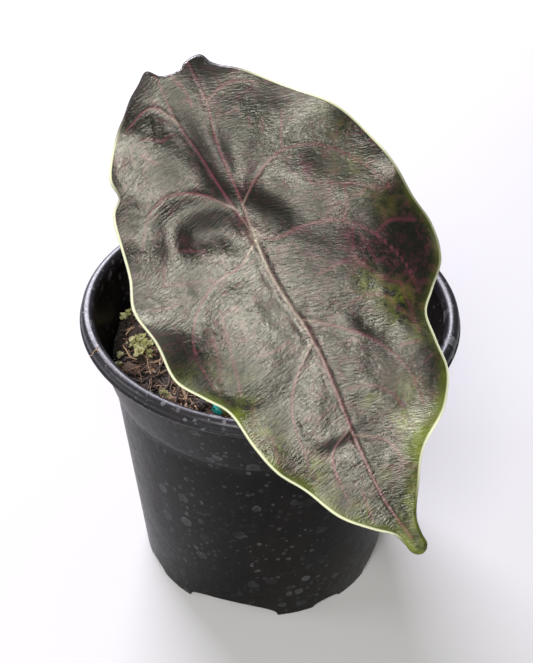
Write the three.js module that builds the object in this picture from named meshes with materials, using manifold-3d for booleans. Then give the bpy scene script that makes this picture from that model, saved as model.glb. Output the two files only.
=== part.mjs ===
// Young Alocasia azlanii with one large peltate leaf, in a black plastic nursery pot.
// Millimetres, +Z up, origin at the middle of the pot's foot. The leaf's tip leans towards -Y.

import * as THREE from 'three';
import { mergeVertices } from 'three/addons/utils/BufferGeometryUtils.js';
import Module from 'manifold-3d';

const wasm = await Module();
wasm.setup();

// Clearance between two pieces that rest on or in each other
const GAP = 0.3;

// Pot
const POT_HEIGHT = 92;
const POT_FOOT_RADIUS = 38.7;
const POT_STEP_RADIUS = 44.7;
const POT_STEP_DROP = 21.5;
const POT_STEP_WIDTH = 0.7;
const POT_COLLAR_RADIUS = 50.3;
const POT_BEAD_RADIUS = 52.5;
const POT_BEAD_DROP = 3;
const POT_BEAD_HALF_HEIGHT = 0.45;
const POT_LIP_RADIUS = 50.3;
const POT_LIP_ROLL = 1.8;
const POT_WALL = 1.1;
const POT_SIDES = 52;

// Pot floor: raised on the foot ring, dished down to the ground in the middle
const FLOOR_UNDERSIDE = 6.5;
const FLOOR_THICKNESS = 1.2;
const FLOOR_DISH_RADIUS = 12;
const FLOOR_DISH_SLOPE = 6;
const NOTCH_PAIR_COUNT = 4;
const FIRST_NOTCH_DEG = -13;
const WIDE_NOTCH = { halfWidth: 14, height: 6 };
const SMALL_NOTCH = { halfWidth: 4.7, height: 2 };
const DRAIN_HOLE_COUNT = 8;
const DRAIN_HOLE_RADIUS = 3;
const DRAIN_RING_RADIUS = 29;

// Potting mix
const MIX_LEVEL = 75;
const MIX_EDGE_Z = 72.5;
const MIX_SIDES = 40;
const MIX_TOP_RINGS = 7;
const CHIP_COUNT = 38;
const STRAND_COUNT = 18;
const MOSS_CURL_COUNT = 6;
const MOSS_RADIUS = 0.55;
const BEAD_RADIUS = 1.8;

// Corm and the crown, where the stalk leaves it
const CROWN_X = 1;
const CROWN_Y = 4;
const CORM_TOP = 73;
const CORM_LENGTH = 22;
const CORM_RADIUS = 7.5;
const CORM_TOP_RADIUS = 4.2;
const CORM_RING_COUNT = 6;
const CORM_RING_HEIGHT = 0.35;
const CORM_SIDES = 18;

// Petiole
const PETIOLE_BASE_RADIUS = 2.5;
const PETIOLE_TOP_RADIUS = 1.6;
const SHEATH_EXTRA_RADIUS = 1;
const SHEATH_SHARE = 0.16;
const PETIOLE_REACH = 26;
const PETIOLE_STEPS = 15;
const PETIOLE_SIDES = 10;

// Leaf blade: a gently waved sheet over a sloping plane through the stalk's attachment
const BLADE_ATTACHMENT = new THREE.Vector3(-4.6, -30.6, 132);
const BLADE_SLOPE_DEG = 48;
const BLADE_HEADING_DEG = 28.9;
const BLADE_THICKNESS = 0.9;
const BLADE_ROWS = 52;
const BLADE_COLUMNS_PER_SIDE = 8;
const MIDRIB_SHARE = 0.05;
const MIDRIB_DEPTH = 1.5;
const TIP_DROOP = 3;
const TIP_POWER = 3;
const ROOF_SLOPE = 0.05;
const ROOF_ROUNDING = 3;
const PILLOW_HEIGHT = 0.9;
const VALLEY_WIDTH = 5.5;
const COSTA_VALLEY_WIDTH = 4;
const MARGIN_WAVE = 1.3;
const MARGIN_WAVE_COUNT = 7;
const BOSS_LENGTH = 2.4;
const BOSS_RADIUS = 3.4;

// Blade outline, [along the midrib, across it] from the attachment, notch first, then each side to the tip
const BLADE_NOTCH = [-41.3, 1.3];
const BLADE_TIP = [81.3, 1.6];
const RIGHT_EDGE = [
  [-41.5, 2.6], [-42.3, 3.4], [-43.2, 6.2], [-43, 8.3], [-40.5, 9.5], [-38.8, 11], [-35.5, 14.8],
  [-24.9, 24.7], [-16, 31.8], [-6.7, 35.1], [7.3, 37], [15.4, 38.6], [23.9, 36.6], [29.5, 31.2],
  [33.5, 27.3], [40, 26.3], [47.2, 25.7], [53.8, 21.1], [59.9, 12.5], [66.9, 7.9], [73.3, 4],
  [77.1, 3.4], [79.6, 3.5], [80.9, 2.6],
];
const LEFT_EDGE = [
  [-41.3, 0.3], [-42, -2.4], [-44.7, -4.9], [-43.1, -7.8], [-41.2, -10.7], [-37.4, -14.2],
  [-34.4, -17.3], [-26, -23.5], [-21.3, -23.5], [-18.6, -26.2], [-11.1, -28], [-3.7, -29.6],
  [3.5, -31.9], [12, -30.8], [21.6, -30.9], [28.5, -26.5], [33.5, -23.1], [42.7, -21.5], [50.7, -19.3],
  [57.1, -15.5], [65.6, -11.3], [71.7, -5.6], [74.8, -2.1], [77.6, -0.9], [79.7, -0.4], [80.9, 0.6],
];

// Veins, [along, across] from the attachment or the midrib to near the margin
const MIDRIB = [
  [0, 0], [9.5, -0.5], [17, 0], [24, 1], [33, 1.2], [41.5, 0.5], [54.5, -0.5], [67.5, -0.6], [77, 1],
];
const BACK_COSTAE = [
  [[0, 0], [-10.5, -1.6], [-22, -2.7], [-31.5, -3.9], [-43, -3.4]],
  [[0, 0], [-9.7, 1.2], [-22.4, 2.2], [-32, 4.3], [-42, 4.6]],
];
const SIDE_VEINS = [
  [[0.5, 0.5], [3.2, 4], [3.4, 11], [6.1, 19.3], [12.5, 25], [20.7, 28], [28, 28]],
  [[22.3, 1.2], [27.9, 8.3], [34.3, 14], [43.4, 17.6], [51.9, 16.7]],
  [[50.5, -0.3], [55.1, 5.9], [61.7, 7.4]],
  [[2, -0.8], [5.2, -5.5], [6.2, -12.7], [10.6, -19.5], [17.4, -23.6], [27.5, -23.6]],
  [[28, 0.6], [34.3, -6.7], [40.4, -10.5], [52.5, -12.4]],
  [[48.7, -0.4], [52.4, -6.4], [62.6, -8]],
  [[-7, -1.2], [-13.5, -6.9], [-16.3, -12.9], [-14.7, -18.6], [-8, -24]],
  [[-31, -3.9], [-36.3, -7.2], [-36.4, -9.6], [-33.8, -15.6]],
  [[-7, 1], [-11.3, 6.5], [-14.2, 13.8], [-12.2, 22.1], [-5, 28.9], [4.3, 33]],
  [[-32, 4.4], [-33.9, 10.7], [-30.8, 17]],
];

// Hollows and turned-down margins of the blade, with one raised edge near the tip
const HOLLOWS = [
  { along: 21, across: 38.5, depth: 5.5, alongReach: 10.5, acrossReach: 9 },
  { along: 25, across: -32, depth: 4, alongReach: 9, acrossReach: 6.5 },
  { along: -47, across: -13, depth: 4, alongReach: 5.5, acrossReach: 6.5 },
  { along: -44, across: 12, depth: 2.8, alongReach: 6, acrossReach: 5.5 },
  { along: -19, across: -29.5, depth: 1.6, alongReach: 4.5, acrossReach: 4.5 },
  { along: 42, across: 30, depth: 2.5, alongReach: 8, acrossReach: 6 },
  { along: 62, across: 20, depth: -3, alongReach: 10, acrossReach: 10 },
  { along: -20, across: 0.3, depth: 1.2, alongReach: 11, acrossReach: 3.2 },
];

// Steep falls of the blade: reach down the fall and beside it, and its turn from the leaf's length
const FALLS = [
  { along: -7.5, across: -7.5, rise: -2.9, reach: 5.2, besideReach: 6.5, turnDeg: -12 },
  { along: -7, across: -14, rise: 1.5, reach: 4, besideReach: 6.5, turnDeg: -115 },
  { along: -5, across: 5.6, rise: -3, reach: 5.2, besideReach: 6.5, turnDeg: 121 },
  { along: 50.3, across: -4.4, rise: -0.7, reach: 2.2, besideReach: 4, turnDeg: 0 },
  { along: 30, across: 13, rise: -0.9, reach: 2.6, besideReach: 5.5, turnDeg: 121 },
];

// Heights on the pot, and the axes of the blade's plane
const STEP_Z = POT_HEIGHT - POT_STEP_DROP;
const BEAD_Z = POT_HEIGHT - POT_BEAD_DROP;
const COLLAR_TOP_Z = BEAD_Z - POT_BEAD_HALF_HEIGHT - 0.3;
const BLADE_SLOPE = THREE.MathUtils.degToRad(BLADE_SLOPE_DEG);
const BLADE_HEADING = THREE.MathUtils.degToRad(BLADE_HEADING_DEG);
const downSlope = new THREE.Vector3(0, -Math.cos(BLADE_SLOPE), -Math.sin(BLADE_SLOPE));
const levelAcross = new THREE.Vector3(1, 0, 0);
const alongMidrib = levelAcross.clone().multiplyScalar(Math.sin(BLADE_HEADING))
  .addScaledVector(downSlope, Math.cos(BLADE_HEADING));
const acrossMidrib = levelAcross.clone().multiplyScalar(Math.cos(BLADE_HEADING))
  .addScaledVector(downSlope, -Math.sin(BLADE_HEADING));
const bladeNormal = new THREE.Vector3(0, -Math.sin(BLADE_SLOPE), Math.cos(BLADE_SLOPE));

// Repeatable random numbers from 0 to 1
function seededRandom(seed) {
  let state = seed;
  return () => {
    state = (state + 0x6d2b79f5) | 0;
    let mixed = Math.imul(state ^ (state >>> 15), 1 | state);
    mixed = (mixed + Math.imul(mixed ^ (mixed >>> 7), 61 | mixed)) ^ mixed;
    return ((mixed ^ (mixed >>> 14)) >>> 0) / 4294967296;
  };
}

function signedVolume(positions, triangles) {
  const a = new THREE.Vector3();
  const b = new THREE.Vector3();
  const c = new THREE.Vector3();
  let volume = 0;
  for (let i = 0; i < triangles.length; i += 3) {
    a.fromArray(positions, triangles[i] * 3);
    b.fromArray(positions, triangles[i + 1] * 3);
    c.fromArray(positions, triangles[i + 2] * 3);
    volume += a.dot(b.cross(c)) / 6;
  }
  return volume;
}

// Turns a closed geometry into a solid that can be joined and cut
function toSolid(geometry) {
  const bare = new THREE.BufferGeometry();
  bare.setAttribute('position', geometry.getAttribute('position'));
  if (geometry.index) {
    bare.setIndex(geometry.index);
  }
  const merged = mergeVertices(bare, 1e-3);
  const corners = merged.index.array;
  const triangles = [];
  for (let i = 0; i < corners.length; i += 3) {
    const [a, b, c] = corners.slice(i, i + 3);
    if (a !== b && b !== c && c !== a) {
      triangles.push(a, b, c);
    }
  }
  const positions = merged.getAttribute('position').array;
  if (signedVolume(positions, triangles) < 0) {
    triangles.reverse();
  }
  return new wasm.Manifold(new wasm.Mesh({
    numProp: 3,
    vertProperties: Float32Array.from(positions),
    triVerts: Uint32Array.from(triangles),
  }));
}

// Joins loose bits to a body and keeps what holds together with it
function fuse(body, bits) {
  const joined = wasm.Manifold.union([body, ...bits]);
  return joined.decompose().reduce((best, piece) => (piece.volume() > best.volume() ? piece : best));
}

function toMesh(name, solid, finish) {
  const { vertProperties, triVerts } = solid.getMesh();
  const geometry = new THREE.BufferGeometry();
  geometry.setAttribute('position', new THREE.BufferAttribute(Float32Array.from(vertProperties), 3));
  geometry.setIndex(new THREE.BufferAttribute(Uint32Array.from(triVerts), 1));
  geometry.computeVertexNormals();
  const mesh = new THREE.Mesh(geometry, new THREE.MeshStandardMaterial({ metalness: 0, ...finish }));
  mesh.name = name;
  return mesh;
}

// Closed skin through rings of points with the same count, closed over at both end rings
function skin(rings) {
  const sides = rings[0].length;
  const centreOf = (ring) => ring.reduce((sum, p) => sum.add(p), new THREE.Vector3()).divideScalar(sides);
  const points = [...rings.flat(), centreOf(rings[0]), centreOf(rings.at(-1))];
  const startCentre = points.length - 2;
  const endCentre = points.length - 1;
  const lastRing = (rings.length - 1) * sides;
  const index = [];
  for (let side = 0; side < sides; side += 1) {
    const next = (side + 1) % sides;
    for (let ring = 0; ring < rings.length - 1; ring += 1) {
      const low = ring * sides;
      const high = low + sides;
      index.push(low + side, low + next, high + next);
      index.push(low + side, high + next, high + side);
    }
    index.push(startCentre, next, side);
    index.push(endCentre, lastRing + side, lastRing + next);
  }
  const geometry = new THREE.BufferGeometry().setFromPoints(points);
  geometry.setIndex(index);
  return geometry;
}

// Round tube along a curve, with a radius that changes on the way
function taperedTube(curve, steps, sides, radiusAt) {
  const frames = curve.computeFrenetFrames(steps, false);
  const rings = [];
  for (let step = 0; step <= steps; step += 1) {
    const share = step / steps;
    const centre = curve.getPointAt(share);
    const radius = radiusAt(share);
    const ring = [];
    for (let side = 0; side < sides; side += 1) {
      const angle = (2 * Math.PI * side) / sides;
      ring.push(centre.clone()
        .addScaledVector(frames.normals[step], radius * Math.cos(angle))
        .addScaledVector(frames.binormals[step], radius * Math.sin(angle)));
    }
    rings.push(ring);
  }
  return skin(rings);
}

function lathe(profile, sides) {
  const geometry = new THREE.LatheGeometry(profile.map(([r, z]) => new THREE.Vector2(r, z)), sides);
  return geometry.rotateX(Math.PI / 2);
}

// Outside of the pot: a slow taper up to the step and a wider flare from there to the rim
function potOuterRadius(z) {
  if (z < STEP_Z) {
    return THREE.MathUtils.mapLinear(z, 0, STEP_Z, POT_FOOT_RADIUS, POT_STEP_RADIUS);
  }
  const flareStart = POT_STEP_RADIUS + POT_STEP_WIDTH;
  return THREE.MathUtils.mapLinear(z, STEP_Z, COLLAR_TOP_Z, flareStart, POT_COLLAR_RADIUS);
}

function potInnerRadius(z) {
  return potOuterRadius(z) - POT_WALL;
}

// Rolled lip, from its outer foot over the top to its inner foot
function lipProfile() {
  const stops = 6;
  const points = [];
  for (let stop = 0; stop <= stops; stop += 1) {
    const angle = THREE.MathUtils.lerp(-0.1 * Math.PI, Math.PI, stop / stops);
    const r = POT_LIP_RADIUS + POT_LIP_ROLL * Math.cos(angle);
    points.push([r, POT_HEIGHT - POT_LIP_ROLL * (1 - Math.sin(angle))]);
  }
  return points;
}

function potProfile() {
  const floorTop = FLOOR_UNDERSIDE + FLOOR_THICKNESS;
  const beadLow = BEAD_Z - POT_BEAD_HALF_HEIGHT;
  const beadHigh = BEAD_Z + POT_BEAD_HALF_HEIGHT;
  const belowStep = STEP_Z - POT_STEP_WIDTH;
  const dishRim = FLOOR_DISH_RADIUS + FLOOR_DISH_SLOPE;
  return [
    [0, 0],
    [FLOOR_DISH_RADIUS, 0],
    [dishRim, FLOOR_UNDERSIDE],
    [potInnerRadius(FLOOR_UNDERSIDE), FLOOR_UNDERSIDE],
    [potInnerRadius(0), 0],
    [POT_FOOT_RADIUS - 0.4, 0],
    [potOuterRadius(0.8), 0.8],
    [potOuterRadius(belowStep), belowStep],
    [potOuterRadius(STEP_Z), STEP_Z],
    [POT_COLLAR_RADIUS, COLLAR_TOP_Z],
    [POT_BEAD_RADIUS - 0.2, beadLow],
    [POT_BEAD_RADIUS, BEAD_Z],
    [POT_BEAD_RADIUS - 0.1, beadHigh],
    ...lipProfile(),
    [potInnerRadius(COLLAR_TOP_Z), COLLAR_TOP_Z],
    [potInnerRadius(STEP_Z), STEP_Z],
    [potInnerRadius(belowStep), belowStep],
    [potInnerRadius(floorTop), floorTop],
    [dishRim - 0.5, floorTop],
    [FLOOR_DISH_RADIUS - 0.5, FLOOR_THICKNESS],
    [0, FLOOR_THICKNESS],
  ];
}

// Arched cutter for one notch in the foot ring, pointing away from the middle along -Y
function footNotchCutter({ halfWidth, height }) {
  const arch = new THREE.Shape();
  arch.moveTo(-halfWidth, -1);
  arch.lineTo(halfWidth, -1);
  arch.absellipse(0, 0, halfWidth, height, 0, Math.PI, false);
  const inner = potInnerRadius(0) * 0.8;
  const geometry = new THREE.ExtrudeGeometry(arch, { depth: 20, bevelEnabled: false, curveSegments: 7 });
  return geometry.rotateX(Math.PI / 2).translate(0, -inner, 0);
}

function drainHoleCutter() {
  const geometry = new THREE.CylinderGeometry(DRAIN_HOLE_RADIUS, DRAIN_HOLE_RADIUS, 4, 14);
  return geometry.rotateX(Math.PI / 2).translate(0, -DRAIN_RING_RADIUS, FLOOR_UNDERSIDE + 0.6);
}

function pot() {
  let body = toSolid(lathe(potProfile(), POT_SIDES));
  const firstNotch = THREE.MathUtils.degToRad(FIRST_NOTCH_DEG);
  for (let i = 0; i < NOTCH_PAIR_COUNT; i += 1) {
    const angle = firstNotch + (2 * Math.PI * i) / NOTCH_PAIR_COUNT;
    const between = angle + Math.PI / NOTCH_PAIR_COUNT;
    body = body.subtract(toSolid(footNotchCutter(WIDE_NOTCH).rotateZ(angle)));
    body = body.subtract(toSolid(footNotchCutter(SMALL_NOTCH).rotateZ(between)));
  }
  for (let i = 0; i < DRAIN_HOLE_COUNT; i += 1) {
    const angle = firstNotch + (2 * Math.PI * i) / DRAIN_HOLE_COUNT;
    body = body.subtract(toSolid(drainHoleCutter().rotateZ(angle)));
  }
  return toMesh('pot', body, { color: 0x1c1c1e, roughness: 0.42 });
}

// Surface of the mix before its chips and strands: crumbly, a little heaped round the crown
function mixHeight(x, y) {
  const radius = Math.hypot(x, y);
  const heap = 1.8 * Math.exp(-(((x - CROWN_X) ** 2 + (y - CROWN_Y) ** 2) / 220));
  const broad = 0.8 * Math.sin(x * 0.21 + 1.3) * Math.cos(y * 0.17 - 0.4);
  const crumbs = 0.55 * Math.sin(x * 0.83 + y * 0.41) * Math.sin(y * 0.77 - x * 0.28 + 2);
  const settle = -0.8 * (radius / potInnerRadius(MIX_LEVEL)) ** 6;
  const bank = 1.8 * Math.exp(-(((x + 43) ** 2 + (y - 8) ** 2) / 150));
  return MIX_LEVEL + heap + broad + crumbs + settle + bank;
}

function ringAt(radius, heightAt) {
  const ring = [];
  for (let side = 0; side < MIX_SIDES; side += 1) {
    const angle = (2 * Math.PI * side) / MIX_SIDES;
    const x = radius * Math.cos(angle);
    const y = radius * Math.sin(angle);
    ring.push(new THREE.Vector3(x, y, heightAt(x, y)));
  }
  return ring;
}

// The mix fills the pot from its floor up, the gap away from it
function mixBody() {
  const floorTop = FLOOR_UNDERSIDE + FLOOR_THICKNESS + GAP;
  const dishFloor = FLOOR_THICKNESS + GAP;
  const belowStep = STEP_Z - POT_STEP_WIDTH;
  const facetSlack = 1 - Math.cos(Math.PI / MIX_SIDES);
  const wallRadius = (z) => potInnerRadius(z) * (1 - facetSlack) - GAP;
  const rings = [
    ringAt(FLOOR_DISH_RADIUS - 2, () => dishFloor),
    ringAt(FLOOR_DISH_RADIUS - 1, () => dishFloor),
    ringAt(FLOOR_DISH_RADIUS + FLOOR_DISH_SLOPE - 1.4, () => floorTop),
    ringAt(wallRadius(floorTop), () => floorTop),
    ringAt(wallRadius(belowStep), () => belowStep),
  ];
  for (let step = MIX_TOP_RINGS; step > 0; step -= 1) {
    rings.push(ringAt((wallRadius(MIX_EDGE_Z) * step) / MIX_TOP_RINGS, mixHeight));
  }
  return toSolid(skin(rings));
}

// Lays a bit on the mix at a place, turned and tilted, and sunk in by a share of its thickness
function layOnMix(geometry, x, y, heading, tilt, lift) {
  geometry.rotateY(tilt);
  geometry.rotateZ(heading);
  return geometry.translate(x, y, mixHeight(x, y) + lift);
}

// A random place on the mix, clear of the wall by the bit's own reach and of the crown
function placeOnMix(random, reach) {
  const crownClearance = 7;
  const rim = potInnerRadius(MIX_EDGE_Z) - 1;
  for (;;) {
    const radius = (rim - reach) * Math.sqrt(random());
    const angle = 2 * Math.PI * random();
    const x = radius * Math.cos(angle);
    const y = radius * Math.sin(angle);
    if (Math.hypot(x - CROWN_X, y - CROWN_Y) > crownClearance + reach) {
      return [x, y];
    }
  }
}

// Flat four-sided splinter of bark
function barkChip(random) {
  const length = 3 + 6 * random();
  const width = 2 + 2.5 * random();
  const thickness = 1.1 + 1.1 * random();
  const geometry = new THREE.CylinderGeometry(0.42, 0.6, 1, 4).rotateX(Math.PI / 2);
  geometry.scale(length, width, thickness);
  const [x, y] = placeOnMix(random, length / 2);
  return layOnMix(geometry, x, y, 2 * Math.PI * random(), 0.7 * (random() - 0.5), 0.1 * thickness);
}

// Thin three-sided strand of coir or root
function strand(random) {
  const length = 7 + 9 * random();
  const radius = 0.45 + 0.25 * random();
  const geometry = new THREE.CylinderGeometry(radius * 0.6, radius, length, 3).rotateZ(Math.PI / 2);
  const [x, y] = placeOnMix(random, length / 2);
  return layOnMix(geometry, x, y, 2 * Math.PI * random(), 0.24 * (random() - 0.5), 0.1);
}

// Curled wisp of moss, a flat arc standing slightly proud
function mossCurl(random) {
  const radius = 1.5 + 1.2 * random();
  const arc = new THREE.EllipseCurve(0, 0, radius, radius * 0.8, 0, Math.PI * (1 + 0.4 * random()));
  const path = new THREE.CatmullRomCurve3(arc.getPoints(5).map(({ x, y }) => new THREE.Vector3(x, y, 0)));
  const curl = taperedTube(path, 5, 3, () => MOSS_RADIUS);
  curl.rotateX(0.5 * (random() - 0.5));
  const [x, y] = placeOnMix(random, radius + 1);
  return layOnMix(curl, x, y, 2 * Math.PI * random(), 0, 0.1);
}

// Slow-release fertiliser beads, the first where the photograph's view shows one
function beads() {
  const places = [[-12.9, -28.4], [24, 21], [-17, 30]];
  return places.map(([x, y]) => {
    const bead = new THREE.IcosahedronGeometry(BEAD_RADIUS, 1);
    return bead.translate(x, y, mixHeight(x, y) + 0.5 * BEAD_RADIUS);
  });
}

// Corm profile, grown outwards by a clearance
function cormProfile(clearance) {
  const points = [[0, CORM_TOP - CORM_LENGTH - clearance]];
  const stops = 2 * CORM_RING_COUNT;
  for (let stop = 1; stop <= stops; stop += 1) {
    const share = stop / stops;
    const swell = Math.sin(Math.PI * share ** 0.7) ** 0.6;
    const ridge = stop % 2 === 0 ? CORM_RING_HEIGHT : 0;
    const radius = share < 1 ? Math.max(CORM_RADIUS * swell + ridge, CORM_TOP_RADIUS) : CORM_TOP_RADIUS;
    const z = CORM_TOP - CORM_LENGTH * (1 - share);
    points.push([radius + clearance, share < 1 ? z : z + clearance]);
  }
  points.push([0, CORM_TOP + clearance]);
  return points;
}

function cormSolid(clearance) {
  return toSolid(lathe(cormProfile(clearance), CORM_SIDES).translate(CROWN_X, CROWN_Y, 0));
}

// Plain hole in the mix for the corm and the foot of the stalk
function crownHole() {
  const radius = PETIOLE_BASE_RADIUS + SHEATH_EXTRA_RADIUS + GAP;
  const shaft = new THREE.CylinderGeometry(radius, radius, 30, 20).rotateX(Math.PI / 2);
  shaft.translate(CROWN_X, CROWN_Y, CORM_TOP + 14);
  return cormSolid(GAP).add(toSolid(shaft));
}

function pottingMix() {
  const random = seededRandom(7);
  const bits = beads();
  for (let i = 0; i < CHIP_COUNT; i += 1) {
    bits.push(barkChip(random));
  }
  for (let i = 0; i < STRAND_COUNT; i += 1) {
    bits.push(strand(random));
  }
  for (let i = 0; i < MOSS_CURL_COUNT; i += 1) {
    bits.push(mossCurl(random));
  }
  const heaped = fuse(mixBody(), bits.map(toSolid));
  const holed = fuse(heaped.subtract(crownHole()), []);
  return toMesh('potting_mix', holed, { color: 0x3b2a20, roughness: 0.95 });
}

function corm() {
  return toMesh('corm', cormSolid(0), { color: 0x6b4a35, roughness: 0.85 });
}

// Distance from a point of the blade's plane to a vein, and how far along the vein that is
function nearestOnVein(along, across, vein) {
  let distance = Infinity;
  let share = 0;
  for (let i = 0; i < vein.length - 1; i += 1) {
    const [startU, startV] = vein[i];
    const du = vein[i + 1][0] - startU;
    const dv = vein[i + 1][1] - startV;
    const dot = (along - startU) * du + (across - startV) * dv;
    const t = THREE.MathUtils.clamp(dot / (du * du + dv * dv), 0, 1);
    const away = Math.hypot(along - startU - t * du, across - startV - t * dv);
    if (away < distance) {
      distance = away;
      share = (i + t) / (vein.length - 1);
    }
  }
  return { distance, share };
}

// How much of the pillow height is left beside a vein that is pressed in
function pillowLeft(along, across, vein, width) {
  const { distance, share } = nearestOnVein(along, across, vein);
  const pressed = 0.92 * (1 - 0.6 * share ** 2);
  return 1 - pressed * Math.exp(-((distance / width) ** 2));
}

// Height of the blade's upper face over its plane
function bladeHeight(along, across) {
  const towardsTip = Math.max(along / BLADE_TIP[0], 0);
  let pillow = PILLOW_HEIGHT * pillowLeft(along, across, MIDRIB, VALLEY_WIDTH);
  for (const vein of SIDE_VEINS) {
    pillow *= pillowLeft(along, across, vein, VALLEY_WIDTH);
  }
  for (const vein of BACK_COSTAE) {
    pillow *= pillowLeft(along, across, vein, COSTA_VALLEY_WIDTH);
  }
  const roof = ROOF_SLOPE * (Math.hypot(across, ROOF_ROUNDING) - ROOF_ROUNDING);
  let height = pillow - TIP_DROOP * towardsTip ** TIP_POWER - roof;
  for (const hollow of HOLLOWS) {
    const u = (along - hollow.along) / hollow.alongReach;
    const v = (across - hollow.across) / hollow.acrossReach;
    height -= hollow.depth * Math.exp(-(u * u + v * v));
  }
  for (const fall of FALLS) {
    const turn = THREE.MathUtils.degToRad(fall.turnDeg);
    const du = along - fall.along;
    const dv = across - fall.across;
    const u = (du * Math.cos(turn) + dv * Math.sin(turn)) / fall.reach;
    const v = (dv * Math.cos(turn) - du * Math.sin(turn)) / fall.besideReach;
    height += fall.rise * u * Math.exp(-(u * u + v * v));
  }
  return height;
}

function bladePoint(along, across, height) {
  return BLADE_ATTACHMENT.clone()
    .addScaledVector(alongMidrib, along)
    .addScaledVector(acrossMidrib, across)
    .addScaledVector(bladeNormal, height);
}

function flatCurve(points) {
  return new THREE.CatmullRomCurve3(points.map(([u, v]) => new THREE.Vector3(u, v, 0)), false, 'centripetal');
}

// How far from the midrib line to the edge a column lies: the first one borders the midrib
function columnShare(column) {
  const steps = Math.abs(column);
  const rest = THREE.MathUtils.mapLinear(steps, 1, BLADE_COLUMNS_PER_SIDE, MIDRIB_SHARE, 1);
  return steps === 0 ? 0 : rest;
}

// How far the midrib stands out of the lower face, from the attachment to the tip
function midribDepth(along) {
  const share = THREE.MathUtils.clamp(along / BLADE_TIP[0], 0, 1);
  return along > 0 ? THREE.MathUtils.lerp(MIDRIB_DEPTH, 0.3, share) : 0;
}

// Rows of the blade run from the midrib line out to both edges, columns run from the notch to the tip
function bladeGrid() {
  const midline = flatCurve([BLADE_NOTCH, [-22, 0], ...MIDRIB, BLADE_TIP]);
  const rightEdge = flatCurve([BLADE_NOTCH, ...RIGHT_EDGE, BLADE_TIP]);
  const leftEdge = flatCurve([BLADE_NOTCH, ...LEFT_EDGE, BLADE_TIP]);
  const grid = [];
  for (let row = 0; row <= BLADE_ROWS; row += 1) {
    const share = row / BLADE_ROWS;
    const middle = midline.getPointAt(share);
    const line = [];
    for (let column = -BLADE_COLUMNS_PER_SIDE; column <= BLADE_COLUMNS_PER_SIDE; column += 1) {
      const edge = (column < 0 ? leftEdge : rightEdge).getPointAt(share);
      const outward = columnShare(column);
      const place = middle.clone().lerp(edge, outward);
      const phase = column < 0 ? 1 : 3.4;
      const wave = Math.sin(2 * Math.PI * MARGIN_WAVE_COUNT * share + phase) * Math.sin(Math.PI * share);
      const top = bladeHeight(place.x, place.y) + MARGIN_WAVE * wave * outward ** 4;
      const rib = column === 0 ? midribDepth(place.x) : 0;
      line.push([place.x, place.y, top, top - BLADE_THICKNESS - rib]);
    }
    grid.push(line);
  }
  return grid;
}

function bladeSheet() {
  const grid = bladeGrid();
  const columns = grid[0].length;
  const faceCount = grid.length * columns;
  const upper = grid.flat().map(([u, v, top]) => bladePoint(u, v, top));
  const lower = grid.flat().map(([u, v, , bottom]) => bladePoint(u, v, bottom));
  const index = [];
  const quad = (a, b, c, d) => index.push(a, b, c, a, c, d);
  for (let row = 0; row < grid.length - 1; row += 1) {
    for (let column = 0; column < columns - 1; column += 1) {
      const a = row * columns + column;
      const b = a + columns;
      quad(a, b, b + 1, a + 1);
      index.push(a + faceCount, b + 1 + faceCount, b + faceCount);
      index.push(a + faceCount, a + 1 + faceCount, b + 1 + faceCount);
    }
    const left = row * columns;
    const right = left + columns - 1;
    quad(left, left + faceCount, left + columns + faceCount, left + columns);
    quad(right, right + columns, right + columns + faceCount, right + faceCount);
  }
  const geometry = new THREE.BufferGeometry().setFromPoints([...upper, ...lower]);
  geometry.setIndex(index);
  return geometry;
}

// Raised rib under the blade along a vein, half sunk into the lower face
function underRib(sheet, vein, startRadius, endRadius) {
  const flat = flatCurve(vein);
  const steps = Math.max(3, Math.round(flat.getLength() / 6));
  const ray = new THREE.Raycaster();
  const above = 30;
  const places = [];
  for (let step = 0; step <= steps; step += 1) {
    const place = flat.getPointAt(step / steps);
    ray.set(bladePoint(place.x, place.y, above), bladeNormal.clone().negate());
    const [top] = ray.intersectObject(sheet);
    const sunk = BLADE_THICKNESS + 0.5 * THREE.MathUtils.lerp(startRadius, endRadius, step / steps);
    places.push(top.point.addScaledVector(bladeNormal, -sunk));
  }
  const curve = new THREE.CatmullRomCurve3(places);
  return taperedTube(curve, steps, 4, (share) => THREE.MathUtils.lerp(startRadius, endRadius, share));
}

// Pad under the attachment, where the veins meet the stalk
function stalkBoss() {
  const topRadius = BOSS_RADIUS;
  const length = BOSS_LENGTH + 0.5;
  const boss = new THREE.CylinderGeometry(topRadius, PETIOLE_TOP_RADIUS + 0.2, length, 14);
  const turn = new THREE.Quaternion().setFromUnitVectors(new THREE.Vector3(0, 1, 0), bladeNormal);
  boss.applyQuaternion(turn);
  const middle = bladePoint(0, 0, bladeHeight(0, 0) - BLADE_THICKNESS + 0.5 - length / 2);
  return boss.translate(middle.x, middle.y, middle.z);
}

function leafBlade() {
  const geometry = bladeSheet();
  const sheet = new THREE.Mesh(geometry, new THREE.MeshBasicMaterial({ side: THREE.DoubleSide }));
  const ribs = [
    ...BACK_COSTAE.map((vein) => underRib(sheet, vein, 1.2, 0.4)),
    ...SIDE_VEINS.map((vein) => underRib(sheet, vein, 1, 0.4)),
    stalkBoss(),
  ];
  const blade = fuse(toSolid(geometry), ribs.map(toSolid));
  return toMesh('leaf_blade', blade, { color: 0x3a3532, roughness: 0.35 });
}

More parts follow.
